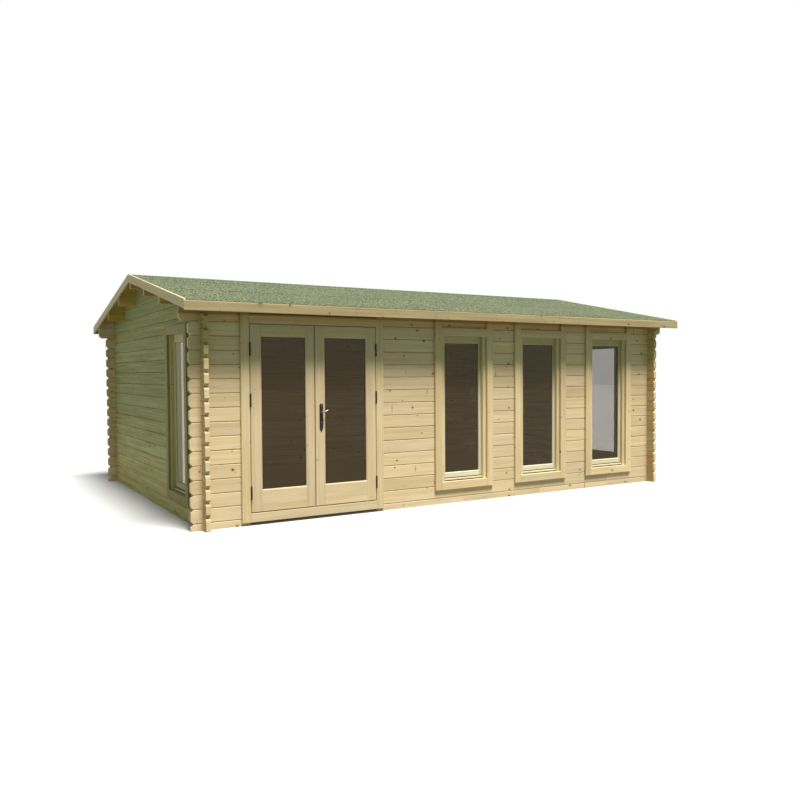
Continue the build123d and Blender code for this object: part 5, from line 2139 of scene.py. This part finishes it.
@dataclass
class Studio:
    """Floor, lights and camera."""

    floor_colour: Colour = linear(199, 199, 199)
    floor_reach: float = 60.0
    bounce_colour: Colour = (0.15, 0.158, 0.13)
    sky_level: float = 0.22
    sky_tint: Colour = (0.93, 1.0, 0.93)
    sun_level: float = 6.45
    sun_tint: Colour = (1.0, 0.985, 0.96)
    sun_angle: float = 18.0
    sun_profile: float = 68.6
    sun_azimuth: float = 6.0
    location: tuple[float, float, float] = (-5.0823, -9.0191, 1.4499)
    yaw: float = 31.045
    pitch: float = -1.922
    roll: float = -0.342
    lens: float = 34.60
    sensor: float = 36.0
    shift: float = -0.00125

    def build(self) -> None:
        """Builds the studio."""
        bpy.context.scene.view_settings.view_transform = "Standard"
        self._floor()
        self._world()
        self._sun()
        self._camera()

    def _seen(self, graph: Graph) -> Socket:
        """1 for rays that come from the eye, from gloss or through glass."""
        rays = graph.node("ShaderNodeLightPath")
        both = graph.node("ShaderNodeMath", {"operation": "MAXIMUM"},
                          {0: rays.outputs["Is Camera Ray"], 1: rays.outputs["Is Glossy Ray"]})
        return graph.node("ShaderNodeMath", {"operation": "MAXIMUM"},
                          {0: both.outputs[0], 1: rays.outputs["Is Transmission Ray"]}).outputs[0]

    def _floor(self) -> None:
        """A wide plain floor."""
        mesh = bpy.data.meshes.new("floor")
        reach = self.floor_reach
        corners = [(reach * x, reach * y, 0) for x, y in ((-1, -1), (1, -1), (1, 1), (-1, 1))]
        mesh.from_pydata(corners, [], [(0, 1, 2, 3)])
        s = Shader("studio_floor")
        colour = s.mix(self._seen(s), self.bounce_colour, self.floor_colour)
        mesh.materials.append(s.finish(colour, 0.9))
        link("studio_floor", mesh)

    def _world(self) -> None:
        """Even surroundings: white to the eye, dim to the surfaces."""
        world = bpy.data.worlds.new("studio")
        world.use_nodes = True
        graph = Graph(world.node_tree)
        seen = self._seen(graph)
        level = graph.node("ShaderNodeMapRange", {}, {"Value": seen, "To Min": self.sky_level, "To Max": 1.0})
        tint = graph.node("ShaderNodeMix", {"data_type": "RGBA"}, {
            "Factor_Float": seen, "A_Color": (*self.sky_tint, 1.0), "B_Color": (1.0, 1.0, 1.0, 1.0)})
        colour = next(s for s in tint.outputs if s.identifier == "Result_Color")
        back = graph.node("ShaderNodeBackground", {}, {"Color": colour, "Strength": level.outputs[0]})
        graph.node("ShaderNodeOutputWorld", {}, {"Surface": back.outputs[0]})
        bpy.context.scene.world = world

    def _sun(self) -> None:
        """The key light, high in front, with soft edges."""
        data = bpy.data.lights.new("key", "SUN")
        data.energy, data.angle = self.sun_level, math.radians(self.sun_angle)
        data.color = self.sun_tint
        key = bpy.data.objects.new("key", data)
        azimuth, profile = math.radians(self.sun_azimuth), math.radians(self.sun_profile)
        towards = Vector((math.tan(azimuth), -1.0, math.tan(profile))).normalized()
        key.rotation_mode = "QUATERNION"
        key.rotation_quaternion = towards.to_track_quat("Z", "Y")
        bpy.context.scene.collection.objects.link(key)

    def _camera(self) -> None:
        """The camera of the photograph."""
        data = bpy.data.cameras.new("camera")
        data.sensor_width, data.lens, data.shift_y = self.sensor, self.lens, self.shift
        data.clip_end = 200.0
        yaw, pitch, roll = (math.radians(a) for a in (self.yaw, self.pitch, self.roll))
        ahead = Vector((math.sin(yaw) * math.cos(pitch), math.cos(yaw) * math.cos(pitch), math.sin(pitch)))
        right = Vector((math.cos(yaw), -math.sin(yaw), 0.0))
        up = right.cross(ahead)
        x_axis = right * math.cos(roll) + up * math.sin(roll)
        y_axis = up * math.cos(roll) - right * math.sin(roll)
        turn = Matrix((x_axis, y_axis, -ahead)).transposed()
        camera = bpy.data.objects.new("camera", data)
        camera.matrix_world = Matrix.Translation(self.location) @ turn.to_4x4()
        bpy.context.scene.collection.objects.link(camera)
        bpy.context.scene.camera = camera


def main() -> None:
    """Builds the cabin's looks in order."""
    logging.basicConfig(level=logging.INFO, format="%(message)s")
    Studio().build()
    finishes = Finishes()
    Walls(finishes).build()
    Windows(finishes).build()
    Doorway(finishes).build()
    for seed, (side, name) in enumerate(SIDES, 300):
        Leaf(side, finishes, seed).build(f"{name}_door")
    Parts.dress(["left_door_glass", "right_door_glass"], finishes.glass)
    Ironmongery(finishes).build()
    Floor(finishes).build()
    roof = Roof(finishes)
    roof.build()
    Nails(finishes, roof).build()


if __name__ == "__main__":
    main()
